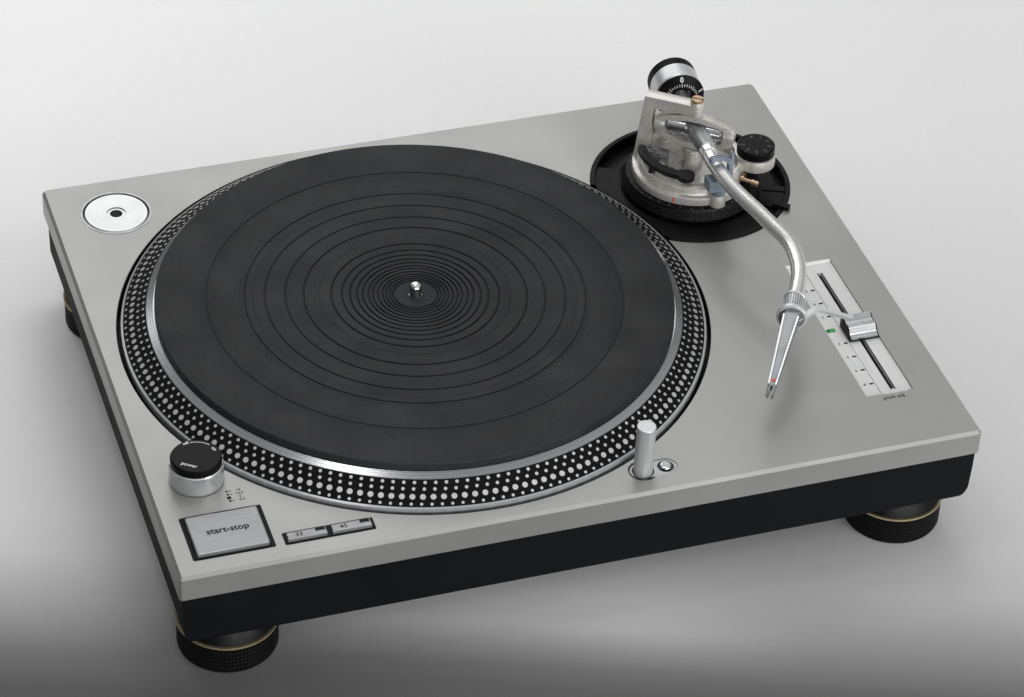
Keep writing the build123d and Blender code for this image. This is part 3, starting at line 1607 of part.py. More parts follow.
# Arm rest: leaning column, cradle under the tube and the clevis of the clamp
cradle_plane = upright(pivot_x, pivot_y + cradle_y, top_z)
with BuildPart() as arm_rest:
    with BuildSketch(flat(pivot_x + rest_x, pivot_y + rest_y, top_z + rest_post_top)):
        Circle(column_r)
    with BuildSketch(flat(pivot_x + column_top_x, pivot_y + column_top_y, top_z + cradle_low + wall_t)):
        Circle(column_top_r)
    loft()
    with BuildSketch(cradle_plane):
        with Locations(((cradle_left + cradle_right) / 2, (cradle_low + cradle_top) / 2)):
            Rectangle(cradle_right - cradle_left, cradle_top - cradle_low)
        with Locations(((cradle_right - lug_r + lug_x) / 2, lug_z)):
            Rectangle(lug_x - cradle_right + lug_r, 2 * lug_r)
        with Locations((lug_x, lug_z)):
            Circle(lug_r)
    extrude(amount=cradle_t / 2, both=True)
    with BuildSketch(cradle_plane):
        with Locations((cradle_right + flange_r / 2 + air_gap, lug_z)):
            Rectangle(flange_r, flange_r)
    extrude(amount=clevis_t / 2, both=True, mode=Mode.SUBTRACT)
    with BuildSketch(cradle_plane):
        with Locations((lug_x, lug_z)):
            Circle(clamp_pin_r + run_gap)
    extrude(amount=cradle_t, both=True, mode=Mode.SUBTRACT)
arm_rest.part.label = "arm_rest"
export_step(arm_rest.part, "parts/arm_rest.step")

# Arm clamp: hook over the tube with a finger blade, on its own pin
with BuildPart() as arm_clamp:
    with BuildSketch(cradle_plane):
        with BuildLine():
            Polyline(
                (clamp_in_x, lug_z),
                (clamp_in_x, clamp_top - clamp_round),
                (clamp_in_x - clamp_round, clamp_top),
                (clamp_tip_x + clamp_wall, clamp_top),
                (clamp_tip_x + clamp_wall, clamp_tip_z),
                (clamp_tip_x, clamp_tip_z),
                (clamp_tip_x, clamp_top + clamp_wall / 2),
                (clamp_tip_x + clamp_wall / 2, clamp_top + clamp_wall),
                (clamp_in_x - clamp_round, clamp_top + clamp_wall),
                (clamp_in_x + clamp_wall / 2, clamp_top),
                (clamp_in_x + clamp_wall / 2, clamp_blade_top),
                (clamp_in_x + clamp_wall + small_edge, clamp_blade_top),
                (clamp_in_x + clamp_wall + 2 * small_edge, lug_z),
                close=True,
            )
        make_face()
        with Locations((lug_x, lug_z)):
            Circle(lug_r - air_gap)
    extrude(amount=clamp_t / 2, both=True)
    with BuildSketch(cradle_plane):
        with Locations((lug_x, lug_z)):
            Circle(clamp_pin_r)
    extrude(amount=cradle_t / 2, both=True)
arm_clamp.part.label = "arm_clamp"
export_step(arm_clamp.part, "parts/arm_clamp.step")

# Cue lever: stem in the arm base, crank and a rod with a thicker end
cue_stem_point = reach_plane.from_local_coords(Vector(cue_plate_s, cue_t, cue_z))
cue_knee_point = reach_plane.from_local_coords(Vector(cue_plate_s, cue_knee_t, cue_knee_z))
cue_tip_point = reach_plane.from_local_coords(Vector(cue_tip_s, cue_tip_t, cue_tip_z))
cue_plate_plane = Plane(origin=pivot + reach_dir * cue_plate_s, x_dir=front_dir * -1, z_dir=reach_dir)
cue_rod_dir = (cue_tip_point - cue_knee_point).normalized()
with BuildPart() as cue_lever:
    with BuildSketch(Plane(origin=cue_stem_point, z_dir=-reach_dir)):
        Circle(cue_stem_r)
    extrude(amount=cue_plate_s - cue_stem_in - air_gap)
    with BuildSketch(Plane(origin=cue_stem_point, z_dir=reach_dir)):
        Circle(cue_end_r)
    extrude(amount=cue_plate_t)
    with BuildSketch(Plane(origin=cue_knee_point, z_dir=reach_dir)):
        Circle(cue_end_r)
    extrude(amount=cue_plate_t)
    with BuildSketch(cue_plate_plane):
        with BuildLine():
            cue_span = Line((cue_t, cue_z), (cue_knee_t, cue_knee_z))
        with Locations(((cue_t + cue_knee_t) / 2, (cue_z + cue_knee_z) / 2)):
            Rectangle(cue_span.length, 2 * cue_rod_r, rotation=cue_span.tangent_angle_at(0))
    extrude(amount=cue_plate_t)
    with BuildSketch(Plane(origin=cue_knee_point, z_dir=cue_rod_dir)):
        Circle(cue_rod_r)
    extrude(amount=(cue_tip_point - cue_knee_point).length)
    with BuildSketch(Plane(origin=cue_tip_point - cue_rod_dir * cue_end_len, z_dir=cue_rod_dir)):
        Circle(cue_end_r)
    extrude(amount=cue_end_len)
cue_lever.part.label = "cue_lever"
export_step(cue_lever.part, "parts/cue_lever.step")

# Arm lift: arc that raises the tube, on a stem in the drum wall
lift_in_r = lift_arc_r - lift_arc_w / 2
lift_out_r = lift_arc_r + lift_arc_w / 2
with BuildPart() as arm_lift:
    with BuildSketch(flat(pivot_x, pivot_y, top_z + lift_arc_low)):
        make_face(ring_sector(lift_in_r, lift_out_r, lift_from_angle, lift_to_angle))
        with PolarLocations(lift_arc_r, 1, start_angle=lift_to_angle):
            Circle(lift_end_r)
        with PolarLocations(lift_arc_r, 1, start_angle=lift_from_angle):
            Circle(lift_arc_w / 2)
    extrude(amount=lift_arc_top - lift_arc_low)
    with BuildSketch(flat(pivot_x + lift_stem_x, pivot_y + lift_stem_y, top_z + lift_stem_low)):
        Circle(lift_stem_r)
    extrude(amount=lift_arc_low - lift_stem_low)
arm_lift.part.label = "arm_lift"
export_step(arm_lift.part, "parts/arm_lift.step")

# Transformer in the base: core and winding block
base_floor_z = base_bottom_z + base_floor
with BuildPart() as transformer:
    with BuildSketch(flat(transformer_x, transformer_y, base_floor_z)):
        Rectangle(transformer_w, transformer_d)
    extrude(amount=transformer_h)
    coil_low_z = base_floor_z + (transformer_h - transformer_coil_h) / 2
    with BuildSketch(flat(transformer_x, transformer_y, coil_low_z)):
        Rectangle(transformer_coil_w, transformer_coil_d)
    extrude(amount=transformer_coil_h)
transformer.part.label = "transformer"
export_step(transformer.part, "parts/transformer.step")

# Main board on four posts, with its chips
with BuildPart() as main_board:
    with BuildSketch(flat(main_board_x, main_board_y, base_floor_z + board_post_h)):
        Rectangle(main_board_w, main_board_d)
    extrude(amount=board_t)
    with BuildSketch(flat(main_board_x, main_board_y, base_floor_z)):
        with GridLocations(2 * board_post_x, 2 * board_post_y, 2, 2):
            Circle(board_post_r)
    extrude(amount=board_post_h)
    with BuildSketch(flat(main_board_x, main_board_y, base_floor_z + board_post_h + board_t)):
        with GridLocations(chip_w, chip_pitch, 1, chip_count):
            Rectangle(chip_w, chip_d)
    extrude(amount=chip_h)
main_board.part.label = "main_board"
export_step(main_board.part, "parts/main_board.step")

# Sockets for the dust cover's hinges, one at each side of the rear
hinge_in_y = base_d / 2 - hinge_seat_depth
hinge_back = plinth_d / 2 + hinge_out
with BuildPart() as hinge_sockets:
    with BuildSketch(level(hinge_low_z)):
        for side in (-1, 1):
            with Locations((side * hinge_x, (hinge_in_y + hinge_back) / 2)):
                Rectangle(hinge_w, hinge_back - hinge_in_y)
    extrude(amount=hinge_top_z - hinge_low_z)
    with BuildSketch(level(hinge_slot_floor_z)):
        for side in (-1, 1):
            with Locations((side * hinge_x, hinge_back - hinge_slot_wall - hinge_slot_d / 2)):
                Rectangle(hinge_slot_w, hinge_slot_d)
    extrude(amount=hinge_top_z, mode=Mode.SUBTRACT)
hinge_sockets.part.label = "hinge_sockets"
export_step(hinge_sockets.part, "parts/hinge_sockets.step")

# Glands where the mains cord and the signal lead leave, without the cords
with BuildPart() as cord_glands:
    for gland in gland_x:
        with BuildSketch(upright(gland, base_rear_y, gland_z)):
            Circle(gland_nose_r)
        extrude(amount=base_wall)
        with BuildSketch(upright(gland, base_rear_y + gland_out, gland_z)):
            Circle(gland_r)
        extrude(amount=gland_out)
        with BuildSketch(upright(gland, base_rear_y + gland_out, gland_z)):
            Circle(gland_bore_r)
        extrude(amount=gland_bore_depth, mode=Mode.SUBTRACT)
cord_glands.part.label = "cord_glands"
export_step(cord_glands.part, "parts/cord_glands.step")
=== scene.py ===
import math

import bmesh
import bpy
from mathutils import Matrix, Vector


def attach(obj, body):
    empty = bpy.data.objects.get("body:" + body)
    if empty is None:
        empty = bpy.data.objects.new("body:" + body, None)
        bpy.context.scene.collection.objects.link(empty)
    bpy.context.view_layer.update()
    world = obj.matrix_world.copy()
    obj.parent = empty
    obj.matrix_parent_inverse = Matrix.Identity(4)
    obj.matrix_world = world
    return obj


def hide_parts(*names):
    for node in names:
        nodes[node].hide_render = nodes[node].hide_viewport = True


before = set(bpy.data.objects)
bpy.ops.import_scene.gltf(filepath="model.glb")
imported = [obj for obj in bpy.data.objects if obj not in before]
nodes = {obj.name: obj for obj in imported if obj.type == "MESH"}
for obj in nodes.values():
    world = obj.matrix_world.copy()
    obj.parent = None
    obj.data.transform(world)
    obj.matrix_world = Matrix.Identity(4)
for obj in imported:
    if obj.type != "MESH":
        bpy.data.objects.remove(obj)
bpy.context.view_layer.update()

# Sizes are in millimetres and become metres when a piece is made
mm = 0.001
weld = 0.002
full_turn = 2 * math.pi

# Heights and centres that the solids have
deck = 79.5
front_y = -180.125
left_x = -226.5
platter_x, platter_y = -47.2, -2.175
pivot_x, pivot_y = 150.8, 81.525
tower_x, tower_y = -199.3, -105.475
start_x, start_y = -193.95, -151.325
speed_x, speed_y = -142.2, -164.275
pitch_x, pitch_y = 189.9, -72.875
pitch_half_length = 62.5
cup_x, cup_y = -188.7, 139.125
gimbal_angle = math.radians(-35.2)
rear_angle = math.radians(5.0)

# Height of the arm's axis over the deck
arm_axis = 39.5

# How far a print stands above its ground, and how thick it is
print_lift, print_depth = 0.02, 0.05


# Colours and node trees

def srgb(code):
    """Linear colour of an sRGB hex value."""
    parts = [int(code[i:i + 2], 16) / 255 for i in (0, 2, 4)]
    return [p / 12.92 if p <= 0.04045 else ((p + 0.055) / 1.055) ** 2.4 for p in parts] + [1.0]


def add(tree, kind, settings=None, plugs=None, stops=None):
    """Adds a node; a plug is a value, or another node's output."""
    node = tree.nodes.new(kind)
    for key, value in (settings or {}).items():
        setattr(node, key, value)
    for key, value in (plugs or {}).items():
        socket = node.inputs[key]
        if isinstance(value, bpy.types.NodeSocket):
            tree.links.new(value, socket)
        else:
            socket.default_value = value
    if stops:
        ramp = node.color_ramp
        while len(ramp.elements) < len(stops):
            ramp.elements.new(1.0)
        for element, (place, colour) in zip(ramp.elements, stops):
            element.position = place
            element.color = colour if isinstance(colour, (list, tuple)) else (colour, colour, colour, 1.0)
    return node


def per_mm(size):
    """Texture scale for a pattern of that size in millimetres."""
    return 1000.0 / size


def new_finish(name, metallic=0.0, **fixed):
    """A material with its shader, its place on the object and its output linked."""
    finish = bpy.data.materials.new(name)
    finish.use_nodes = True
    tree = finish.node_tree
    tree.nodes.clear()
    shader = add(tree, "ShaderNodeBsdfPrincipled", None, {"Metallic": metallic})
    for key, value in fixed.items():
        shader.inputs[key.replace("_", " ")].default_value = value
    add(tree, "ShaderNodeOutputMaterial", None, {"Surface": shader.outputs["BSDF"]})
    place = add(tree, "ShaderNodeTexCoord").outputs["Object"]
    return finish, tree, shader, place


def mottled(tree, place, low, high, size, spread=0.25, detail=3.0):
    """Soft clouds of the given size between two colours or values."""
    noise = add(tree, "ShaderNodeTexNoise", None, {"Vector": place, "Scale": per_mm(size), "Detail": detail})
    ramp = add(tree, "ShaderNodeValToRGB", None, {"Fac": noise.outputs["Fac"]},
               ((0.5 - spread, low), (0.5 + spread, high)))
    return ramp.outputs["Color"]


def raised(tree, shader, height, depth, strength=1.0):
    """Bumps the surface by a height from 0 to 1; depth is in millimetres."""
    bump = add(tree, "ShaderNodeBump", None, {"Height": height, "Distance": depth * mm, "Strength": strength})
    tree.links.new(bump.outputs["Normal"], shader.inputs["Normal"])


def grain(tree, shader, place, size, depth):
    """A fine raised grain on the surface; size and depth in millimetres."""
    noise = add(tree, "ShaderNodeTexNoise", None, {"Vector": place, "Scale": per_mm(size), "Detail": 2.0})
    raised(tree, shader, noise.outputs["Fac"], depth)


def lathe_rings(tree, place, centre, pitch):
    """Distance from the upright line through the centre, and the fine rings that a lathe leaves round it."""
    spot = add(tree, "ShaderNodeMapping", {"vector_type": "TEXTURE"},
               {"Vector": place, "Location": [c * mm for c in centre]})
    split = add(tree, "ShaderNodeSeparateXYZ", None, {"Vector": spot.outputs["Vector"]})
    flat = add(tree, "ShaderNodeCombineXYZ", None, {"X": split.outputs["X"], "Y": split.outputs["Y"]})
    radius = add(tree, "ShaderNodeVectorMath", {"operation": "LENGTH"}, {0: flat.outputs["Vector"]})
    rings = add(tree, "ShaderNodeTexNoise", {"noise_dimensions": "1D"},
                {"W": radius.outputs["Value"], "Scale": per_mm(pitch), "Detail": 2.0})
    return radius.outputs["Value"], rings.outputs["Fac"]


def moulded(name, dark, light, rough, size, grit=0.5, depth=0.0, metallic=0.0, **fixed):
    """A cast, moulded or painted skin: clouds of colour, clouds of gloss and, with a depth, a fine grain."""
    finish, tree, shader, place = new_finish(name, metallic, **fixed)
    tree.links.new(mottled(tree, place, srgb(dark), srgb(light), size), shader.inputs["Base Color"])
    tree.links.new(mottled(tree, place, rough[0], rough[1], size / 3), shader.inputs["Roughness"])
    if depth:
        grain(tree, shader, place, grit, depth)
    return finish


def turned(name, dark, light, rough, centre, pitch):
    """Metal faced on a lathe: fine rings round a centre, which spread the gloss."""
    finish, tree, shader, place = new_finish(name, 1.0)
    rings = lathe_rings(tree, place, centre, pitch)[1]
    ramp = add(tree, "ShaderNodeValToRGB", None, {"Fac": rings}, ((0.35, srgb(dark)), (0.65, srgb(light))))
    tree.links.new(ramp.outputs["Color"], shader.inputs["Base Color"])
    tree.links.new(mottled(tree, place, rough[0], rough[1], 12), shader.inputs["Roughness"])
    raised(tree, shader, rings, 0.02, 0.6)
    return finish


def brushed(name, dark, light, rough, along, length, width, depth, metallic=1.0):
    """Metal brushed in one direction: scratches many times longer than wide."""
    finish, tree, shader, place = new_finish(name, metallic)
    stretch = [per_mm(width)] * 3
    stretch["XYZ".index(along)] = per_mm(length)
    lines = add(tree, "ShaderNodeMapping", None, {"Vector": place, "Scale": stretch})
    scratch = add(tree, "ShaderNodeTexNoise", None,
                  {"Vector": lines.outputs["Vector"], "Scale": 1.0, "Detail": 3.0})
    ramp = add(tree, "ShaderNodeValToRGB", None, {"Fac": scratch.outputs["Fac"]},
               ((0.3, srgb(dark)), (0.7, srgb(light))))
    tree.links.new(ramp.outputs["Color"], shader.inputs["Base Color"])
    tree.links.new(mottled(tree, place, rough[0], rough[1], 9), shader.inputs["Roughness"])
    raised(tree, shader, scratch.outputs["Fac"], depth, 0.5)
    return finish


# Each finish: dark and light colour, range of roughness, width of its clouds, size and depth of its grain

# Silver metallic lacquer over die-cast zinc: flat flake sparkle, a satin sheen, faint clouds from handling
silver_lacquer = moulded("silver_lacquer", "929290", "9f9f9c", (0.34, 0.42), 90, 0.35, 0.012, metallic=0.6)
# Heavy filled rubber: deep black with a soft broad sheen and a slight moulded grain
black_rubber = moulded("black_rubber", "050608", "0a0b0d", (0.6, 0.72), 40, 0.8, 0.04,
                       Specular_IOR_Level=0.12)
# Black nylon on the feet, a little greyer where hands have turned it
black_nylon = moulded("black_nylon", "030304", "09090a", (0.4, 0.52), 8, Specular_IOR_Level=0.15)
# Lacquered brass ring: pale gold with dull patches
pale_brass = moulded("pale_brass", "b0a37f", "cabd98", (0.28, 0.4), 5, metallic=0.8)
# Black satin ABS of the bezels and the arm's dish; also the black sheet of painted shade in the platter's
# recess
black_abs_and_painted_shade = moulded("black_abs_and_painted_shade", "050506", "0b0b0c", (0.38, 0.5), 14, Specular_IOR_Level=0.12)
# Brushed aluminium keys, rubbed bright by fingers
key_metal = brushed("key_metal", "868889", "989a9b", (0.36, 0.48), "X", 30, 0.8, 0.006, metallic=0.6)
# Satin aluminium panel of the pitch control, nearly white
panel_metal = brushed("panel_metal", "c6c7c6", "d0d1d0", (0.46, 0.54), "Y", 40, 0.8, 0.002, metallic=0.2)
# Bright chrome plate on knobs, pins and shafts
chrome_plate = moulded("chrome_plate", "c2c3c5", "d6d7d9", (0.08, 0.16), 6, metallic=1.0)
# Satin chrome tube: a soft bright stripe along the top, grey at the sides
satin_chrome = moulded("satin_chrome", "d2d2d0", "dededc", (0.22, 0.26), 30, metallic=0.75)
# Painted silver of the headshell and its nut: greyer and flatter than the tube
shell_silver = moulded("shell_silver", "7c7e81", "8e9093", (0.36, 0.46), 12, metallic=0.6)
# Pale silver paint on the arm's castings, warm from age
arm_paint = moulded("arm_paint", "b6b4ae", "c8c6c0", (0.24, 0.34), 12, metallic=0.5)
# Grey cast of the arm's neck, rougher than the painted castings
neck_cast = moulded("neck_cast", "8e9092", "acaeb0", (0.25, 0.4), 4, metallic=0.8)
# Blue-grey acetal of the arm clamp and rest
slate_acetal = moulded("slate_acetal", "5e6874", "78828e", (0.3, 0.42), 5)
# Dark acetal of the arm lift
dark_acetal = moulded("dark_acetal", "0b0b0c", "161617", (0.28, 0.4), 6, Specular_IOR_Level=0.35)
# Plain brass of the arm's top screw, the cue lever and the spindle's bearing
bare_brass = moulded("bare_brass", "9a8468", "b9a286", (0.25, 0.38), 3, 0.3, 0.01, metallic=0.9)
# Zinc-plated steel of screws and the cover
zinc_steel = moulded("zinc_steel", "8c8d8e", "a8a9aa", (0.3, 0.45), 10, 0.4, 0.01, metallic=1.0)
# Green solder mask on glass fibre
solder_mask = moulded("solder_mask", "12401f", "1c5a2c", (0.3, 0.45), 6, 0.5, 0.01)
# Enamelled copper wire: brown red with a gloss
enamel_wire = moulded("enamel_wire", "8a4524", "a85a30", (0.25, 0.4), 2, 0.35, 0.06, metallic=0.8)
# Black magnet ferrite, dull
ferrite = moulded("ferrite", "26262a", "34343a", (0.5, 0.65), 8, 0.5, 0.02)
# Printing inks, slightly uneven where the screen wore; the black also paints shade beside the pitch slot, and
# the white a painted highlight on the pitch panel's rear lip
black_ink_and_painted_shade = moulded("black_ink_and_painted_shade", "0a0a0b", "161617", (0.5, 0.6), 1.5, Specular_IOR_Level=0.15)
white_ink_and_painted_highlight = moulded("white_ink_and_painted_highlight", "d0d0ce", "e6e6e4", (0.5, 0.6), 1.5)
green_ink = moulded("green_ink", "2c8a4c", "44a062", (0.45, 0.55), 1.5)
red_ink = moulded("red_ink", "c4241e", "dc3c32", (0.4, 0.5), 1.0)


def make_platter_metal():
    """Die-cast aluminium, turned: bright lip and rim, and a black anodised slope that the dots stand on."""
    finish, tree, shader, place = new_finish("platter_aluminium", 1.0, Specular_IOR_Level=0.12)
    radius, rings = lathe_rings(tree, place, (platter_x, platter_y, deck), 0.6)
    # The zones between two radii; from slope to metal the colour changes within 0.2 mm
    nearest, farthest = 140.0, 170.0
    lip_edges, rim_edges = (151.75, 151.95), (164.75, 164.95)
    share = add(tree, "ShaderNodeMapRange", None,
                {"Value": radius, "From Min": nearest * mm, "From Max": farthest * mm})
    shares = [(edge - nearest) / (farthest - nearest) for edge in lip_edges + rim_edges]
    bare, rim_metallic = (1.0, 0.0, 0.0, 1.0), 0.3
    bright = add(tree, "ShaderNodeValToRGB", None, {"Fac": share.outputs["Result"]}, list(zip(shares, bare)))
    silver = add(tree, "ShaderNodeValToRGB", None, {"Fac": rings},
                 ((0.35, srgb("8f9193")), (0.65, srgb("adafb1"))))
    colour = add(tree, "ShaderNodeMix", {"data_type": "RGBA"},
                 {0: bright.outputs["Color"], 6: srgb("060607"), 7: silver.outputs["Color"]})
    tree.links.new(colour.outputs[2], shader.inputs["Base Color"])
    plated = add(tree, "ShaderNodeValToRGB", None, {"Fac": share.outputs["Result"]},
                 list(zip(shares, bare[:3] + (rim_metallic,))))
    tree.links.new(plated.outputs["Color"], shader.inputs["Metallic"])
    gloss = add(tree, "ShaderNodeMapRange", None,
                {"Value": bright.outputs["Color"], "To Min": 0.55, "To Max": 0.22})
    tree.links.new(gloss.outputs["Result"], shader.inputs["Roughness"])
    raised(tree, shader, rings, 0.015, 0.5)
    return finish


def make_mat_rubber():
    """Soft black rubber: dusty grey mottling from records laid on it, a dull sheen, a fine pimpled skin."""
    finish, tree, shader, place = new_finish("mat_rubber_skin", Specular_IOR_Level=0.2)
    dust = mottled(tree, place, srgb("191a1c"), srgb("252628"), 70, 0.22, 6.0)
    fine = mottled(tree, place, 0.0, 1.0, 3.0, 0.3, 4.0)
    colour = add(tree, "ShaderNodeMix", {"data_type": "RGBA", "blend_type": "SOFT_LIGHT"},
                 {0: 0.25, 6: dust, 7: fine})
    tree.links.new(colour.outputs[2], shader.inputs["Base Color"])
    tree.links.new(mottled(tree, place, 0.5, 0.66, 25), shader.inputs["Roughness"])
    grain(tree, shader, place, 0.7, 0.04)
    return finish


def make_red_lens():
    """Clear red acrylic over the strobe lamp: saturated where it is thick, glossy."""
    finish, tree, shader, place = new_finish("red_acrylic", Transmission_Weight=0.5, IOR=1.49)
    tree.links.new(mottled(tree, place, srgb("7a0a0c"), srgb("b01818"), 3), shader.inputs["Base Color"])
    tree.links.new(mottled(tree, place, 0.08, 0.16, 4), shader.inputs["Roughness"])
    return finish


platter_metal = make_platter_metal()
mat_skin = make_mat_rubber()
red_acrylic = make_red_lens()
# Faced aluminium of the adaptor: rings that fan the light
adaptor_metal = turned("adaptor_metal", "b9baba", "cfd0d0", (0.36, 0.44), (cup_x, cup_y, deck), 0.45)
# Brushed aluminium of the stylus lamp's post: upright scratches soften its bright stripe
post_metal = brushed("post_metal", "b8babb", "d6d7d8", (0.28, 0.36), "Z", 20, 0.6, 0.004, metallic=0.6)
# Satin plate of the strobe tower: pale, with soft reflections
tower_metal = moulded("tower_metal", "d2d4d6", "dcdee0", (0.2, 0.24), 30, metallic=0.85)
# Satin chrome of the pitch knob's saddle: soft bands of light and dark along its curves
saddle_metal = brushed("saddle_metal", "b4b6b7", "c8cacb", (0.26, 0.32), "X", 30, 0.6, 0.002)
# Raised edges, rings, nut reeds and the finger lift of the headshell: a brighter copy of the headshell's
# silver, a painted highlight where these edges catch the light; on the counterweight's body it is that part's
# own bright finish
bright_silver_and_painted_highlight = moulded("bright_silver_and_painted_highlight", "c2c3c4", "d0d1d2", (0.3, 0.36), 12, metallic=0.5)
# Milled tops of the dots: bare aluminium, matt white in this light
dot_metal = moulded("dot_metal", "c4c5c3", "d6d7d5", (0.3, 0.4), 2.0, metallic=0.8)
# Black knob cap of the power switch, polished by hands
knob_black = moulded("knob_black", "030304", "070708", (0.34, 0.44), 6, Specular_IOR_Level=0.12)
# Grey ink of small scales that are meant to be read from close by
grey_ink = moulded("grey_ink", "55585a", "74787a", (0.45, 0.55), 1.5)
# Grey cast metal of the arm lift's holder
lift_cast = moulded("lift_cast", "77787a", "909193", (0.3, 0.42), 5, metallic=0.7)


def dress(node, finish):
    """Gives a carried-over solid its finish."""
    materials = nodes[node].data.materials
    for index in range(len(materials)):
        materials[index] = finish
    if not materials:
        materials.append(finish)


finish_of = {
    "top_cabinet": silver_lacquer, "rubber_base": black_rubber, "bottom_cover": zinc_steel,
    "cover_screws": zinc_steel, "hinge_sockets": black_abs_and_painted_shade, "cord_glands": black_abs_and_painted_shade,
    "start_stop_bezel": black_abs_and_painted_shade, "speed_bezel": black_abs_and_painted_shade, "start_stop_button": key_metal,
    "speed_button_33": key_metal, "speed_button_45": key_metal, "strobe_tower": tower_metal,
    "strobe_lens": red_acrylic, "power_knob": knob_black, "pitch_panel": panel_metal,
    "pitch_knob": black_abs_and_painted_shade, "pitch_knob_saddle": saddle_metal, "pitch_resistor": black_abs_and_painted_shade,
    "target_lamp": post_metal, "lamp_bezel": zinc_steel, "lamp_button": chrome_plate,
    "adaptor_cup": zinc_steel, "adaptor_45": adaptor_metal, "platter": platter_metal,
    "rubber_mat": mat_skin, "rotor_magnet": ferrite, "spindle": chrome_plate,
    "motor_board": solder_mask, "main_board": solder_mask, "stator_coils": enamel_wire,
    "spindle_bearing": bare_brass, "transformer": zinc_steel, "tonearm_dish": black_abs_and_painted_shade,
    "arm_pillar": black_abs_and_painted_shade, "height_ring": black_abs_and_painted_shade, "arm_lock_lever": black_abs_and_painted_shade,
    "arm_base": arm_paint, "top_bearing_screw": bare_brass, "arm_rest": slate_acetal,
    "anti_skate_knob": knob_black, "cue_lever": bare_brass, "arm_lift": dark_acetal,
    "arm_clamp": slate_acetal, "gimbal_yoke": arm_paint, "pivot_screws": arm_paint,
    "arm_neck": neck_cast, "arm_tube": satin_chrome, "counterweight": chrome_plate,
    "force_dial": black_abs_and_painted_shade, "locking_nut": shell_silver, "headshell": shell_silver,
    "headshell_plug": chrome_plate,
}
for corner in ("front_left", "front_right", "rear_left", "rear_right"):
    finish_of["foot_" + corner] = black_nylon
    finish_of["foot_" + corner + "_trim"] = pale_brass
for node, finish in finish_of.items():
    dress(node, finish)


# Mesh helpers

def make_piece(name, mesh, body, finish, stands_for=(), sharp=30.0, turn_out=True):
    """Turns a bmesh in millimetres into a finished piece that rides on a body."""
    bmesh.ops.remove_doubles(mesh, verts=mesh.verts, dist=weld)
    if turn_out:
        bmesh.ops.recalc_face_normals(mesh, faces=mesh.faces)
    bmesh.ops.scale(mesh, vec=(mm, mm, mm), verts=mesh.verts)
    data = bpy.data.meshes.new(name)
    mesh.to_mesh(data)
    mesh.free()
    data.materials.append(finish)
    data.shade_smooth()
    data.set_sharp_from_angle(angle=math.radians(sharp))
    made = bpy.data.objects.new(name, data)
    bpy.context.scene.collection.objects.link(made)
    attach(made, body)
    if stands_for:
        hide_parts(*stands_for)
    return made


def lathe(mesh, profile, x=0.0, y=0.0, steps=64):
    """Turns (radius, height) points full circle round the upright line through x, y."""
    points = [mesh.verts.new((x + r, y, z)) for r, z in profile]
    edges = [mesh.edges.new(pair) for pair in zip(points, points[1:])]
    bmesh.ops.spin(mesh, geom=points + edges, cent=(x, y, 0), axis=(0, 0, 1),
                   angle=full_turn, steps=steps, use_merge=True)


def set_at(x, y, z, turn=0.0):
    """A place with its X turned about the upright line."""
    return Matrix.Translation((x, y, z)) @ Matrix.Rotation(turn, 4, "Z")


def frame_of(origin, side, up):
    """A matrix whose X runs along side and whose Z runs along up."""
    z = Vector(up).normalized()
    x = Vector(side).normalized()
    y = z.cross(x).normalized()
    x = y.cross(z)
    place = Matrix((x, y, z)).transposed().to_4x4()
    place.translation = Vector(origin)
    return place


def block(mesh, place, width, depth, height, round_by=0.0):
    """A bar that stands on its place, with its edges rounded."""
    made = bmesh.ops.create_cube(mesh, size=1.0)
    verts = made["verts"]
    bmesh.ops.translate(mesh, vec=(0, 0, 0.5), verts=verts)
    bmesh.ops.scale(mesh, vec=(width, depth, height), verts=verts)
    if round_by:
        edges = list({e for v in verts for e in v.link_edges})
        made = bmesh.ops.bevel(mesh, geom=edges, offset=round_by, offset_type="OFFSET", segments=2,
                               profile=0.5, affect="EDGES", material=-1, clamp_overlap=True)
        verts = list({v for f in made["faces"] for v in f.verts} | {v for v in verts if v.is_valid})
    bmesh.ops.transform(mesh, matrix=place, verts=verts)
    return verts


def disc(mesh, place, radius, height, sides=24, top_radius=None):
    """A round plate or cone that stands on its place."""
    made = bmesh.ops.create_cone(mesh, cap_ends=True, segments=sides, radius1=radius,
                                 radius2=radius if top_radius is None else top_radius, depth=height)
    verts = made["verts"]
    bmesh.ops.translate(mesh, vec=(0, 0, height / 2), verts=verts)
    bmesh.ops.transform(mesh, matrix=place, verts=verts)
    return verts


def put_new(mesh, earlier, place):
    """Puts what was made after the earlier points on its place."""
    bmesh.ops.transform(mesh, matrix=place, verts=[v for v in mesh.verts if v not in earlier])


def shifted(place, x, y, z):
    """The place, moved along its own axes."""
    return place @ Matrix.Translation((x, y, z))


def knurl(mesh, centre, radius, low, high, thickness, depth):
    """Insets each face that lies outside the radius and between two heights, as knurling does."""
    bmesh.ops.remove_doubles(mesh, verts=mesh.verts, dist=weld)
    bmesh.ops.recalc_face_normals(mesh, faces=mesh.faces)
    pads = []
    for face in mesh.faces:
        middle = face.calc_center_median()
        if low < middle.z < high and math.dist(middle.xy, centre) > radius:
            pads.append(face)
    bmesh.ops.inset_individual(mesh, faces=pads, thickness=thickness, depth=depth)


def letters(mesh, text, size, place, thick=0.03, bold=0.0):
    """Words as flat raised ink, centred on their place; size is the body height."""
    curve = bpy.data.curves.new("letters", "FONT")
    curve.body = text
    curve.size = size
    curve.extrude = thick
    curve.offset = bold
    curve.resolution_u = 3
    curve.align_x = "CENTER"
    curve.align_y = "CENTER"
    carrier = bpy.data.objects.new("letters", curve)
    shape = bpy.data.meshes.new_from_object(carrier)
    bpy.data.objects.remove(carrier)
    earlier = set(mesh.verts)
    mesh.from_mesh(shape)
    bpy.data.meshes.remove(shape)
    put_new(mesh, earlier, place)


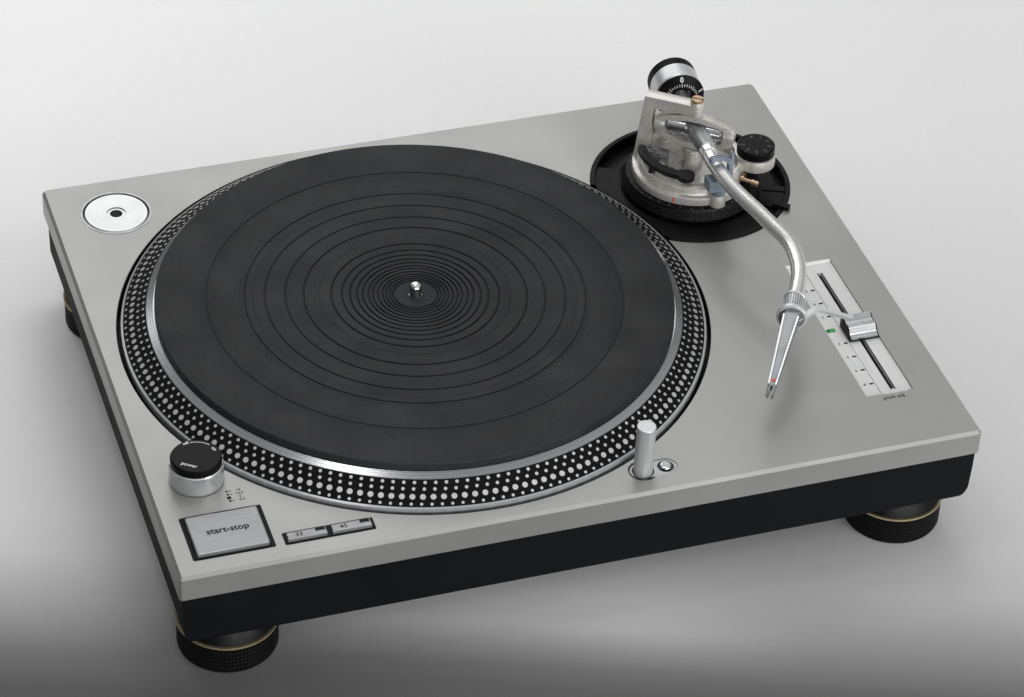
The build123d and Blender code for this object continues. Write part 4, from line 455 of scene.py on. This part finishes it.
def round_copies(mesh, verts, count, x, y):
    """Repeats the given points and their faces round the upright line through x, y."""
    geom = set(verts)
    for vert in verts:
        geom.update(vert.link_edges)
        geom.update(vert.link_faces)
    bmesh.ops.spin(mesh, geom=list(geom), cent=(x, y, 0), axis=(0, 0, 1),
                   angle=full_turn * (count - 1) / count, steps=count - 1, use_duplicate=True)


def softened(name, node, body, finish, width, angle=35.0, segments=2):
    """A merged copy of a solid with its sharp edges rounded by width; it stands for the solid."""
    mesh = bmesh.new()
    mesh.from_mesh(nodes[node].data)
    bmesh.ops.scale(mesh, vec=(1 / mm, 1 / mm, 1 / mm), verts=mesh.verts)
    bmesh.ops.remove_doubles(mesh, verts=mesh.verts, dist=0.01)
    bmesh.ops.dissolve_limit(mesh, angle_limit=math.radians(1.0), use_dissolve_boundaries=False,
                             verts=mesh.verts, edges=mesh.edges)
    limit = math.radians(angle)
    sharp = [e for e in mesh.edges if len(e.link_faces) == 2 and e.calc_face_angle(0.0) > limit]
    bmesh.ops.bevel(mesh, geom=sharp, offset=width, offset_type="OFFSET", segments=segments,
                    profile=0.5, affect="EDGES", material=-1, clamp_overlap=True)
    bmesh.ops.triangulate(mesh, faces=[f for f in mesh.faces if len(f.verts) > 4])
    return make_piece(name, mesh, body, finish, (node,), sharp=40.0, turn_out=False)


# The mat: fine grooves close together at the middle, single grooves further out

mat_low, mat_top = deck + 9.4, deck + 17.1
mat_bore, mat_rim, groove_half = 4.8, 147.0, 0.7
# A thin collar closes the bore round the spindle
collar_in, collar_out, collar_foot = 3.7, mat_bore + 2.0, mat_bore + 2.4
collar_under, collar_over = mat_top + 0.02, mat_top + 0.06
# Radius and depth of each groove, from the rim to the middle
groove_rings = ((118.0, 0.5), (99.0, 0.15), (96.5, 0.6), (91.8, 0.15), (85.0, 0.6), (73.5, 0.6), (63.2, 0.7),
                (54.2, 0.2), (47.5, 0.8), (41.5, 0.8), (37.0, 0.9), (33.0, 0.9), (29.7, 0.9), (26.5, 0.9),
                (24.0, 0.9), (21.2, 0.9), (18.7, 0.9), (16.6, 0.9), (14.5, 0.9), (12.6, 0.9))
# Across a groove, as shares of its half width and of its depth
groove_shares = ((-1.0, 0.0), (-0.6, 0.3), (-0.35, 1.0), (0.35, 1.0), (0.6, 0.3), (1.0, 0.0))
mesh = bmesh.new()
profile = [(mat_bore, mat_low), (mat_bore, collar_under), (collar_in, collar_under), (collar_in, collar_over),
           (collar_out, collar_over), (collar_foot, mat_top)]
for ring, depth in sorted(groove_rings):
    profile += [(ring + across * groove_half, mat_top - fall * depth) for across, fall in groove_shares]
profile += [(mat_rim - 1.0, mat_top), (mat_rim - 0.3, mat_top - 0.2), (mat_rim, mat_top - 0.7),
            (mat_rim, mat_low), (mat_bore, mat_low)]
lathe(mesh, profile, platter_x, platter_y, 192)
make_piece("grooved_mat", mesh, "platter_body", mat_skin, ("rubber_mat",))

# Strobe dots: four rows milled on the black slope, each with its radius, its count and the radius of its dots

strobe_rows = ((153.4, 170, 0.95), (156.4, 174, 0.95), (160.0, 180, 1.6), (163.4, 186, 0.85))
dot_sunk, dot_height, dot_sides = 0.05, 0.17, 12
slope_low, slope_high = (165.0, 1.8), (151.65, 10.5)
slope = math.atan2(slope_high[1] - slope_low[1], slope_low[0] - slope_high[0])
rows_start = math.radians(247.0)
mesh = bmesh.new()
for ring, count, dot_r in strobe_rows:
    height = slope_low[1] + (slope_low[0] - ring) * math.tan(slope)
    place = frame_of((ring, 0, height - dot_sunk), (math.cos(slope), 0, -math.sin(slope)),
                     (math.sin(slope), 0, math.cos(slope)))
    place = set_at(platter_x, platter_y, deck, rows_start) @ place
    round_copies(mesh, disc(mesh, place, dot_r, dot_height, dot_sides), count, platter_x, platter_y)
make_piece("strobe_dots", mesh, "platter_body", dot_metal)

# Painted shade in the recess round the platter: a black sheet on its floor and its upright wall, where the
# gap beside the platter lies in shade

recess_shade_profile = ((158.0, -8.95), (168.85, -8.95), (168.85, -0.4), (168.4, -0.4), (168.3, -8.3), (158.0, -8.3),
         (158.0, -8.95))
mesh = bmesh.new()
lathe(mesh, recess_shade_profile, 0, 0, 128)
bmesh.ops.translate(mesh, vec=(platter_x, platter_y, deck), verts=mesh.verts)
make_piece("recess_painted_shade", mesh, "plinth", black_abs_and_painted_shade)

# Feet: a knurled barrel on a ribbed rubber tread, and a boot above it

foot_places = (("front_left", "foot_fl", -194.0, -148.125), ("front_right", "foot_fr", 194.0, -148.125),
               ("rear_left", "foot_rl", -194.0, 141.375), ("rear_right", "foot_rr", 194.0, 141.375))
barrel_r = 27.1
barrel_rows = [1.6 + 2.6 * step for step in range(7)]
tread = [(0, 0.6), (6, 0.6), (6.6, 0), (9.4, 0), (10, 0.6), (13, 0.6), (13.6, 0), (16.4, 0), (17, 0.6),
         (20, 0.6), (20.6, 0), (26.2, 0), (26.5, 0.3), (26.5, 0.6), (26.8, 0.7), (barrel_r, 1.0)]
boot = [(barrel_r, 17.6), (26.8, 18.0), (24.4, 18.0), (24.4, 19.2), (26.6, 19.2), (26.4, 20.0), (22.6, 28.4),
        (22.0, 29.0), (0, 29.0)]
for name, body, x, y in foot_places:
    mesh = bmesh.new()
    lathe(mesh, tread + [(barrel_r, z) for z in barrel_rows] + boot, x, y, 84)
    knurl(mesh, (x, y), barrel_r - 0.2, barrel_rows[0], barrel_rows[-1], 0.55, 0.4)
    make_piece("knurled_foot_" + name, mesh, body, black_nylon, ("foot_" + name,))

# Castings and small metal parts with their edges broken
softened("arm_base_casting", "arm_base", "arm_base_body", arm_paint, 0.4)
softened("yoke_casting", "gimbal_yoke", "yoke_body", arm_paint, 0.45)
softened("neck_casting", "arm_neck", "tonearm", neck_cast, 0.35)
softened("clamp_moulding", "arm_clamp", "arm_clamp_body", slate_acetal, 0.35)
softened("rest_moulding", "arm_rest", "arm_base_body", slate_acetal, 0.35)

# Printing on the deck and the keys, and the dark window beside each speed

deck_print = deck + print_lift
start_top, speed_top = deck + 2.2, deck + 1.9
speed_half_pitch = 12.1
mesh = bmesh.new()
letters(mesh, "start-stop", 5.8, set_at(start_x + 0.4, start_y + 0.4, start_top + print_lift), bold=0.14)
make_piece("start_stop_words", mesh, "start_stop_button_body", black_ink_and_painted_shade)
for number, side in (("33", -1), ("45", 1)):
    body = "speed_button_%s_body" % number
    key_x = speed_x + side * speed_half_pitch
    mesh = bmesh.new()
    letters(mesh, number, 4.2, set_at(key_x - 4.2, speed_y - 0.2, speed_top + print_lift), bold=0.04)
    make_piece("speed_number_" + number, mesh, body, black_ink_and_painted_shade)
    mesh = bmesh.new()
    block(mesh, set_at(key_x + 7.4, speed_y + 1.1, speed_top - 0.05), 5.2, 2.2, 0.2, 0.05)
    make_piece("speed_light_" + number, mesh, body, knob_black)

# Words and an arc of marks on the power knob
knob_top = deck + 16.3
knob_print = knob_top + print_lift
arc_r, arc_marks = 11.2, 13
mesh = bmesh.new()
letters(mesh, "power", 3.4, set_at(tower_x - 5.2, tower_y - 6.4, knob_print, math.radians(-36)), bold=0.03)
letters(mesh, "off", 3.0, set_at(tower_x - 3.0, tower_y + 11.2, knob_print, math.radians(10)), bold=0.04)
letters(mesh, "on", 3.0, set_at(tower_x + 10.6, tower_y + 3.0, knob_print, math.radians(-70)), bold=0.04)
for step in range(arc_marks):
    angle = math.radians(40 + step * 4.4)
    spot = set_at(tower_x + arc_r * math.cos(angle), tower_y + arc_r * math.sin(angle), knob_top, angle)
    block(mesh, spot, 0.35, 0.95, print_depth)
make_piece("power_knob_print", mesh, "power_knob_body", white_ink_and_painted_highlight)

# Legend of the strobe rows, to the right of the tower: each row's speed and its one or two squares
legend_x, legend_y, legend_step = left_x + 40.2, front_y + 60.4, 2.6
legend_rows = (("+6", 1.3, 0.8), ("+3.3", 1.3, 0.8), ("0", 2.2, 0.0), ("-3.3", 1.4, 0.8))
mesh = bmesh.new()
for row, (speed, first, second) in enumerate(legend_rows):
    y = legend_y - row * legend_step
    block(mesh, set_at(legend_x, y, deck - print_lift), first, first, print_depth)
    letters(mesh, speed, 2.4, set_at(legend_x + 6.2, y, deck_print), bold=0.05)
    if second:
        block(mesh, set_at(legend_x + 1.8, y, deck - print_lift), second, second, print_depth)
make_piece("strobe_legend", mesh, "plinth", black_ink_and_painted_shade)

# Pitch scale: ticks, numbers and a line beside the slot, and a strip of painted shade along each side of the
# slot, which widens its dark
panel_top = deck - 1.0
panel_print = panel_top - print_lift
tick_x, slot_x, slot_y = left_x + 409.9, 193.5, -76.625
# Distance of each number from the front edge
marks = ((55.8, "8"), (68.5, "6"), (81.0, "4"), (93.5, "2"), (118.8, "2"), (131.4, "4"), (144.0, "6"),
         (156.5, "8"))
mesh = bmesh.new()
for forth, number in marks:
    block(mesh, set_at(tick_x, front_y + forth, panel_print), 2.4, 1.3, print_depth)
    letters(mesh, number, 2.6, set_at(tick_x - 4.0, front_y + forth, panel_top + print_lift), bold=0.05)
block(mesh, set_at(tick_x + 2.0, pitch_y, panel_print), 0.25, 121.0, print_depth)
# Painted shade: black strips along the slot's sides, where it lies dark
for side in (-1, 1):
    block(mesh, set_at(slot_x + side * 1.3, slot_y, panel_print), 0.6, 110.5, print_depth)
make_piece("pitch_scale_and_slot_shade", mesh, "plinth", black_ink_and_painted_shade)

# Green mark and arrow at the scale's zero
zero_y, zero_depth = front_y + 106.2, 0.12
mesh = bmesh.new()
block(mesh, set_at(tick_x - 3.7, zero_y, panel_print), 4.6, 3.4, zero_depth, 0.04)
disc(mesh, set_at(tick_x - 6.1, zero_y, panel_print, math.pi), 1.9, zero_depth, 3)
make_piece("pitch_zero_mark", mesh, "plinth", green_ink)
mesh = bmesh.new()
words_y = pitch_y - pitch_half_length - 4.0
letters(mesh, "pitch adj.", 3.8, set_at(pitch_x + 1.0, words_y, deck_print), bold=0.04)
make_piece("pitch_words", mesh, "plinth", black_ink_and_painted_shade)

# Height ring: a knurled side that leans in, and a bevel with grey ticks

ring_bore, ring_foot_r, ring_brow_r = 30.7, 41.8, 39.5
ring_foot, ring_brow, ring_top = 1.4, 8.0, 8.5
ring_lean = (ring_foot_r - ring_brow_r) / (ring_brow - ring_foot)
ring_rows = [1.6 + 1.3 * step for step in range(5)]
profile = [(ring_bore, ring_foot), (ring_foot_r - 0.3, ring_foot)]
profile += [(ring_foot_r - (z - ring_foot) * ring_lean, z) for z in ring_rows]
profile += [(ring_brow_r, ring_brow), (39.3, 8.35), (39.0, ring_top), (ring_bore, ring_top),
            (ring_bore, ring_foot)]
mesh = bmesh.new()
lathe(mesh, [(r, z + deck) for r, z in profile], pivot_x, pivot_y, 132)
knurl(mesh, (pivot_x, pivot_y), ring_brow_r + 0.1, deck + ring_rows[0], deck + ring_rows[-1], 0.4, 0.2)
make_piece("knurled_height_ring", mesh, "height_ring_body", black_abs_and_painted_shade, ("height_ring",))

ring_ticks, tick_outer_r = 36, 38.8
mesh = bmesh.new()
for step in range(ring_ticks):
    turn = set_at(pivot_x, pivot_y, deck + ring_top - print_lift, full_turn * step / ring_ticks)
    long = 1.3 if step % 3 else 2.0
    block(mesh, shifted(turn, tick_outer_r - long / 2, 0, 0), long, 0.35, print_depth)
make_piece("height_ticks", mesh, "height_ring_body", grey_ink)

# Red index line on the arm base, over the ring's ticks
mesh = bmesh.new()
spot = shifted(set_at(pivot_x, pivot_y, deck + 9.4, math.radians(-127.5)), 36.0, 0, 0)
block(mesh, spot, 0.25, 0.8, 3.8, 0.05)
make_piece("red_index", mesh, "arm_base_body", red_ink)

# Holder and rod of the arm lift, standing in the bowl of the arm base

reach = Matrix.Translation((pivot_x, pivot_y, deck)) @ Matrix.Rotation(gimbal_angle, 4, "Z")
bowl_floor = 12.0
mesh = bmesh.new()
block(mesh, shifted(reach, -19.4, -7.4, bowl_floor), 12.6, 6.4, 12.2, 0.8)
block(mesh, shifted(reach, -15.0, -13.6, bowl_floor), 4.2, 6.6, 9.6, 0.7)
disc(mesh, shifted(reach, -21.4, -7.6, 24.1), 2.0, 0.8, 20)
make_piece("lift_holder", mesh, "arm_base_body", lift_cast)
rod = shifted(reach, -1.9, -14.0, bowl_floor)
mesh = bmesh.new()
disc(mesh, rod, 1.6, 13.0, 20)
disc(mesh, rod, 2.6, 6.0, 20)
make_piece("lift_rod", mesh, "arm_base_body", chrome_plate)

# Chrome sleeves over the pitch shafts, either side of the neck
sleeve = ((0, 5.0), (4.8, 5.0), (5.1, 5.3), (5.1, 15.9), (4.8, 16.2), (0, 16.2))
mesh = bmesh.new()
for side in (-1, 1):
    earlier = set(mesh.verts)
    lathe(mesh, sleeve, 0, 0, 40)
    put_new(mesh, earlier, reach @ frame_of((0, 0, arm_axis), (0, 0, 1), (side, 0, 0)))
make_piece("pitch_sleeves", mesh, "tonearm", chrome_plate)

# Counterweight: bright body and a knurled black band at its rear

rearward = (math.sin(rear_angle), math.cos(rear_angle), 0)
rear = frame_of((pivot_x, pivot_y, deck + arm_axis), (0, 0, 1), rearward)
shaft_bore, weight_front, weight_joint, band_low, band_high = 5.6, 35.5, 48.3, 48.5, 54.8
mesh = bmesh.new()
lathe(mesh, [(shaft_bore, weight_front), (13.2, weight_front), (14.2, 35.9), (14.7, 36.7), (14.8, 37.4),
             (14.8, weight_joint), (shaft_bore, weight_joint), (shaft_bore, weight_front)], 0, 0, 72)
bmesh.ops.transform(mesh, matrix=rear, verts=mesh.verts)
make_piece("weight_body", mesh, "counterweight_body", bright_silver_and_painted_highlight, ("counterweight",))
mesh = bmesh.new()
lathe(mesh, [(shaft_bore, weight_joint), (14.4, weight_joint), (14.6, band_low), (14.6, 51.6),
             (14.6, band_high), (14.2, 55.2), (11.6, 55.2), (11.0, 54.6), (shaft_bore, 54.6),
             (shaft_bore, weight_joint)], 0, 0, 72)
knurl(mesh, (0, 0), 14.5, band_low, band_high, 0.3, 0.35)
bmesh.ops.transform(mesh, matrix=rear, verts=mesh.verts)
make_piece("weight_band", mesh, "counterweight_body", black_nylon)

# Numbers and ticks on the force dial's front

cone_low, cone_high = (8.6, 30.6), (15.0, 34.2)
cone_length = math.dist(cone_low, cone_high)
cone_out = ((cone_high[1] - cone_low[1]) / cone_length, 0, (cone_low[0] - cone_high[0]) / cone_length)


def on_cone(share):
    """A place on the dial's cone, that share of the way from its bore to its rim."""
    spot = [low + share * (high - low) for low, high in zip(cone_low, cone_high)]
    return frame_of((spot[0], 0, spot[1]), (0, 1, 0), cone_out)


dial_ticks, ticks_per_number, long_every = 40, 8, 5
mesh = bmesh.new()
for step in range(dial_ticks):
    spin = rear @ Matrix.Rotation(full_turn * step / dial_ticks, 4, "Z")
    block(mesh, spin @ on_cone(0.2), 0.35, 1.5 if step % long_every else 2.2, 0.04)
    if step % ticks_per_number == 0:
        letters(mesh, str(step // ticks_per_number), 4.4, spin @ on_cone(0.65), bold=0.12)
make_piece("force_scale", mesh, "force_dial_body", white_ink_and_painted_highlight)


# Headshell: raised edges, a ring round the collar, the nut's reeds, a red dot and the finger lift's blade;
# the edges, ring, reeds and blade are a brighter silver, a painted highlight

def by_pivot(x, y, z):
    """A point given from the arm's pivot, at the height of the deck."""
    return Vector((pivot_x + x, pivot_y + y, deck + z))


def strip(mesh, centres, sides, ups, width, height):
    """A bar that follows its centres; sides and ups turn its section."""
    rows = []
    for centre, side, up in zip(centres, sides, ups):
        rows.append([mesh.verts.new(centre + side * (a * width / 2) + up * (b * height / 2))
                     for a, b in ((-1, -1), (1, -1), (1, 1), (-1, 1))])
    for near, far in zip(rows, rows[1:]):
        for index in range(4):
            after = (index + 1) % 4
            mesh.faces.new((near[index], near[after], far[after], far[index]))
    mesh.faces.new(rows[0])
    mesh.faces.new(rows[-1])


def smooth_line(points, steps):
    """Points on a smooth curve through the given ones, with that many steps from one to the next."""
    line = []
    starts, ends = [points[0]] + points[:-2], points[2:] + [points[-1]]
    for first, second, third, fourth in zip(starts, points[:-1], points[1:], ends):
        for step in range(steps):
            t = step / steps
            line.append(((2 * second) + (third - first) * t
                         + (2 * first - 5 * second + 4 * third - fourth) * t ** 2
                         + (3 * second - first - 3 * third + fourth) * t ** 3) / 2)
    return line + [points[-1]]


tube_end, shell_tip = by_pivot(-0.8, -164.7, 36.7), by_pivot(-38.7, -225.9, 21.0)
socket_dir = (by_pivot(-9.0, -180.4, 36.3) - tube_end).normalized()
shell_root = tube_end + socket_dir * 19.5
shell_len = (shell_tip - shell_root).length
shell_dir = (shell_tip - shell_root).normalized()
shell_side = Vector((0, 0, 1)).cross(shell_dir).normalized()
shell_up = shell_dir.cross(shell_side)
socket = frame_of(tube_end, shell_side, socket_dir)
# Width and height of the headshell's body at its root, a little before its middle, and at its tip
shell_sizes = ((9.2, 6.8, 4.4), (10.2, 8.0, 4.6))
middle_share = 0.45


def shell_size(share):
    """Width and height of the headshell's body at that share of its length."""
    sizes = []
    for low, middle, high in shell_sizes:
        bend = (middle - low - middle_share * (high - low)) / (middle_share * (middle_share - 1))
        sizes.append(low + share * (high - low) + bend * share * (share - 1))
    return sizes


edge_shares = [0.03 + 0.085 * step for step in range(11)]
edge_in, edge_lift, edge_wide, edge_high = 0.5, 0.1, 0.9, 0.7
collar_ring = ((7.3, 16.4), (8.1, 16.4), (8.6, 16.9), (8.6, 19.2), (8.2, 19.7), (7.3, 19.7), (7.3, 16.4))
mesh = bmesh.new()
for side in (-1, 1):
    centres = []
    for share in edge_shares:
        wide, high = shell_size(share)
        centres.append(shell_root + shell_dir * share * shell_len + shell_side * side * (wide / 2 - edge_in)
                       + shell_up * (high / 2 + edge_lift))
    strip(mesh, centres, [shell_side] * len(centres), [shell_up] * len(centres), edge_wide, edge_high)
earlier = set(mesh.verts)
lathe(mesh, collar_ring, 0, 0, 48)
put_new(mesh, earlier, socket)
blade_points = [by_pivot(-2.0, -183.2, 36.6), by_pivot(4.6, -179.4, 37.0), by_pivot(10.0, -181.0, 36.6),
                by_pivot(23.4, -190.3, 35.6)]
blade = smooth_line(blade_points, 6)
headings = [(far - near).normalized() for near, far in zip(blade, blade[1:])]
headings.append(headings[-1])
across = [heading.cross(Vector((0, 0, 1))).normalized() for heading in headings]
strip(mesh, blade, across, [side.cross(heading) for side, heading in zip(across, headings)], 2.9, 2.0)
make_piece("headshell_edges", mesh, "headshell_body", bright_silver_and_painted_highlight)

# Reeds of the locking nut and the ring at its front, in the brighter silver that paints a highlight on the
# nut
reed_count, reed_r = 28, 5.75
nut_ring = ((5.2, 1.7), (6.0, 1.7), (6.3, 2.0), (6.3, 3.4), (6.0, 3.7), (5.2, 3.7), (5.2, 1.7))
mesh = bmesh.new()
for step in range(reed_count):
    spin = socket @ Matrix.Rotation(full_turn * step / reed_count, 4, "Z")
    block(mesh, shifted(spin, reed_r, 0, 4.2), 0.5, 0.55, 9.0)
earlier = set(mesh.verts)
lathe(mesh, nut_ring, 0, 0, 40)
put_new(mesh, earlier, socket)
make_piece("nut_reeds", mesh, "locking_nut_body", bright_silver_and_painted_highlight)

# Red dot over the stylus
dot_from_tip, dot_sink = 9.1, 0.1
mesh = bmesh.new()
share = 1 - dot_from_tip / shell_len
spot = shell_root + shell_dir * share * shell_len + shell_up * (shell_size(share)[1] / 2 - dot_sink)
disc(mesh, frame_of(spot, shell_side, shell_up), 1.0, 0.4, 20)
make_piece("stylus_dot", mesh, "headshell_body", red_ink)

# Faint scale on the anti-skate cap
cap_print = set_at(pivot_x + 36.8, pivot_y - 9.1, deck + 28.02)
mesh = bmesh.new()
for step in range(8):
    spin = cap_print @ Matrix.Rotation(-full_turn * step / 9, 4, "Z")
    letters(mesh, str(step), 2.4, shifted(spin, 0, 7.6, 0), bold=0.03)
    block(mesh, shifted(spin, 0, 10.0, -print_lift), 0.3, 1.1, print_depth)
make_piece("anti_skate_scale", mesh, "anti_skate_body", grey_ink)

# Lip at the rear of the pitch panel, white as a painted highlight where its edge catches the light
mesh = bmesh.new()
block(mesh, set_at(pitch_x, pitch_y + pitch_half_length - 1.5, panel_print), 28.0, 2.8, 0.9, 0.25)
make_piece("pitch_lip_highlight", mesh, "plinth", white_ink_and_painted_highlight)


# Floor, light and camera

# Painted shade on the paper, from the viewer's side to the far side: beside the player, and straight in front
# of it, where painted light lifts the player's own shadow
painted_shade_beside = ((0.0, 0.07), (0.125, 0.10), (0.16, 0.17), (0.19, 0.3), (0.22, 0.43), (0.26, 0.62),
                (0.3, 0.69), (0.42, 0.76), (0.6, 0.84), (0.8, 0.96), (1.0, 1.0))
painted_light_and_shade_in_front = ((0.0, 0.07), (0.12, 0.11), (0.15, 0.15), (0.17, 0.22), (0.19, 0.42), (0.21, 0.74),
                  (0.24, 0.88), (0.42, 0.76), (0.6, 0.84), (0.8, 0.96), (1.0, 1.0))
# The direction that the photograph looks in, from the player's own depth
view_turn = math.radians(19.65)


def make_floor():
    """Pale paper sweep with painted shade: darker towards the viewer's side and towards the right, and
    lighter straight in front of the player, as painted light over its shadow.
    """
    finish, tree, shader, place = new_finish("paper_with_painted_shade", Specular_IOR_Level=0.2, Roughness=0.8)
    along_view = add(tree, "ShaderNodeMapping", None, {"Vector": place, "Rotation": (0, 0, view_turn)})
    split = add(tree, "ShaderNodeSeparateXYZ", None, {"Vector": along_view.outputs["Vector"]})
    share = add(tree, "ShaderNodeMapRange", None,
                {"Value": split.outputs["Y"], "From Min": -0.35, "From Max": 0.45})
    beside = add(tree, "ShaderNodeValToRGB", None, {"Fac": share.outputs["Result"]}, painted_shade_beside)
    in_front = add(tree, "ShaderNodeValToRGB", None, {"Fac": share.outputs["Result"]}, painted_light_and_shade_in_front)
    offset = add(tree, "ShaderNodeMath", {"operation": "ABSOLUTE"}, {0: split.outputs["X"]})
    centred = add(tree, "ShaderNodeMapRange", {"interpolation_type": "SMOOTHSTEP"},
                  {"Value": offset.outputs["Value"], "From Min": 0.06, "From Max": 0.2})
    ramp = add(tree, "ShaderNodeMix", {"data_type": "RGBA"},
               {0: centred.outputs["Result"], 6: in_front.outputs["Color"], 7: beside.outputs["Color"]})
    # Painted shade: the paper is painted darker towards the right
    painted_shade_across = add(tree, "ShaderNodeMapRange", None,
               {"Value": split.outputs["X"], "From Min": -0.3, "From Max": 0.3,
                "To Min": 1.0, "To Max": 0.76})
    tone = add(tree, "ShaderNodeMath", {"operation": "MULTIPLY"},
               {0: ramp.outputs[2], 1: painted_shade_across.outputs["Result"]})
    fibre = mottled(tree, place, 0.97, 1.0, 4.0)
    colour = add(tree, "ShaderNodeMix", {"data_type": "RGBA", "blend_type": "MULTIPLY"},
                 {0: 1.0, 6: tone.outputs["Value"], 7: fibre})
    tree.links.new(colour.outputs[2], shader.inputs["Base Color"])
    return finish


mesh = bmesh.new()
bmesh.ops.create_grid(mesh, x_segments=1, y_segments=1, size=3.0)
data = bpy.data.meshes.new("floor")
mesh.to_mesh(data)
mesh.free()
data.materials.append(make_floor())
floor = bpy.data.objects.new("floor", data)
bpy.context.scene.collection.objects.link(floor)


def soft_lamp(name, place, aim, size, power):
    """A soft box that faces its aim; places and sizes are in metres."""
    lamp = bpy.data.lights.new(name, "AREA")
    lamp.shape = "RECTANGLE"
    lamp.size, lamp.size_y = size
    lamp.energy = power
    holder = bpy.data.objects.new(name, lamp)
    holder.location = place
    holder.rotation_euler = (Vector(aim) - Vector(place)).to_track_quat("-Z", "Y").to_euler()
    bpy.context.scene.collection.objects.link(holder)


# Each lamp: its place, its aim, its width and height, and its power in watts
soft_lamp("key_box", (0.5, -2.1, 0.38), (0, 0, 0.05), (2.6, 0.55), 48)
soft_lamp("edge_box", (0.95, -1.5, 1.8), (0.1, -0.15, 0.05), (0.7, 0.5), 4)
soft_lamp("top_box", (0.25, 0.7, 2.1), (0, 0, 0.05), (0.9, 0.9), 9)
soft_lamp("spot_box", (-0.5, 0.0, 2.1), (-0.1, -0.1, 0.05), (0.35, 0.35), 3)
soft_lamp("rear_box", (-0.1, 2.2, 1.5), (0, 0.1, 0.05), (2.4, 0.9), 13)
soft_lamp("left_box", (-0.9, -1.8, 0.5), (-0.1, 0, 0.05), (0.8, 0.8), 2)

scene = bpy.context.scene
world = bpy.data.worlds.new("studio")
scene.world = world
world.use_nodes = True
tree = world.node_tree
tree.nodes.clear()
# A dim room: dark walls low down and a paler ceiling, so that the metals have something to mirror
heading = add(tree, "ShaderNodeTexCoord").outputs["Generated"]
rise = add(tree, "ShaderNodeSeparateXYZ", None, {"Vector": heading})
room = add(tree, "ShaderNodeValToRGB", None, {"Fac": rise.outputs["Z"]},
           ((0.0, 0.14), (0.3, 0.24), (0.55, 0.6), (0.8, 0.62), (1.0, 0.5)))
left = add(tree, "ShaderNodeMapRange", None,
           {"Value": rise.outputs["X"], "From Min": -0.8, "From Max": -0.1, "To Min": 0.4, "To Max": 1.05})
sky = add(tree, "ShaderNodeBackground", None,
          {"Color": room.outputs["Color"], "Strength": left.outputs["Result"]})
add(tree, "ShaderNodeOutputWorld", None, {"Surface": sky.outputs["Background"]})

# The camera stands where the photograph was taken from, in metres
eye_place = (-0.490954, -1.412349, 1.241212)
forward = Vector((0.26262786, 0.73574939, -0.62425912))
upward = Vector((0.162175, 0.604108, 0.780226))
eye = bpy.data.cameras.new("eye")
eye.lens = 116.14
eye.sensor_width = 36.0
eye.clip_start = 0.05
camera = bpy.data.objects.new("eye", eye)
camera.matrix_world = frame_of(eye_place, forward.cross(upward), -forward)
scene.collection.objects.link(camera)
scene.camera = camera
scene.view_settings.view_transform = "Standard"
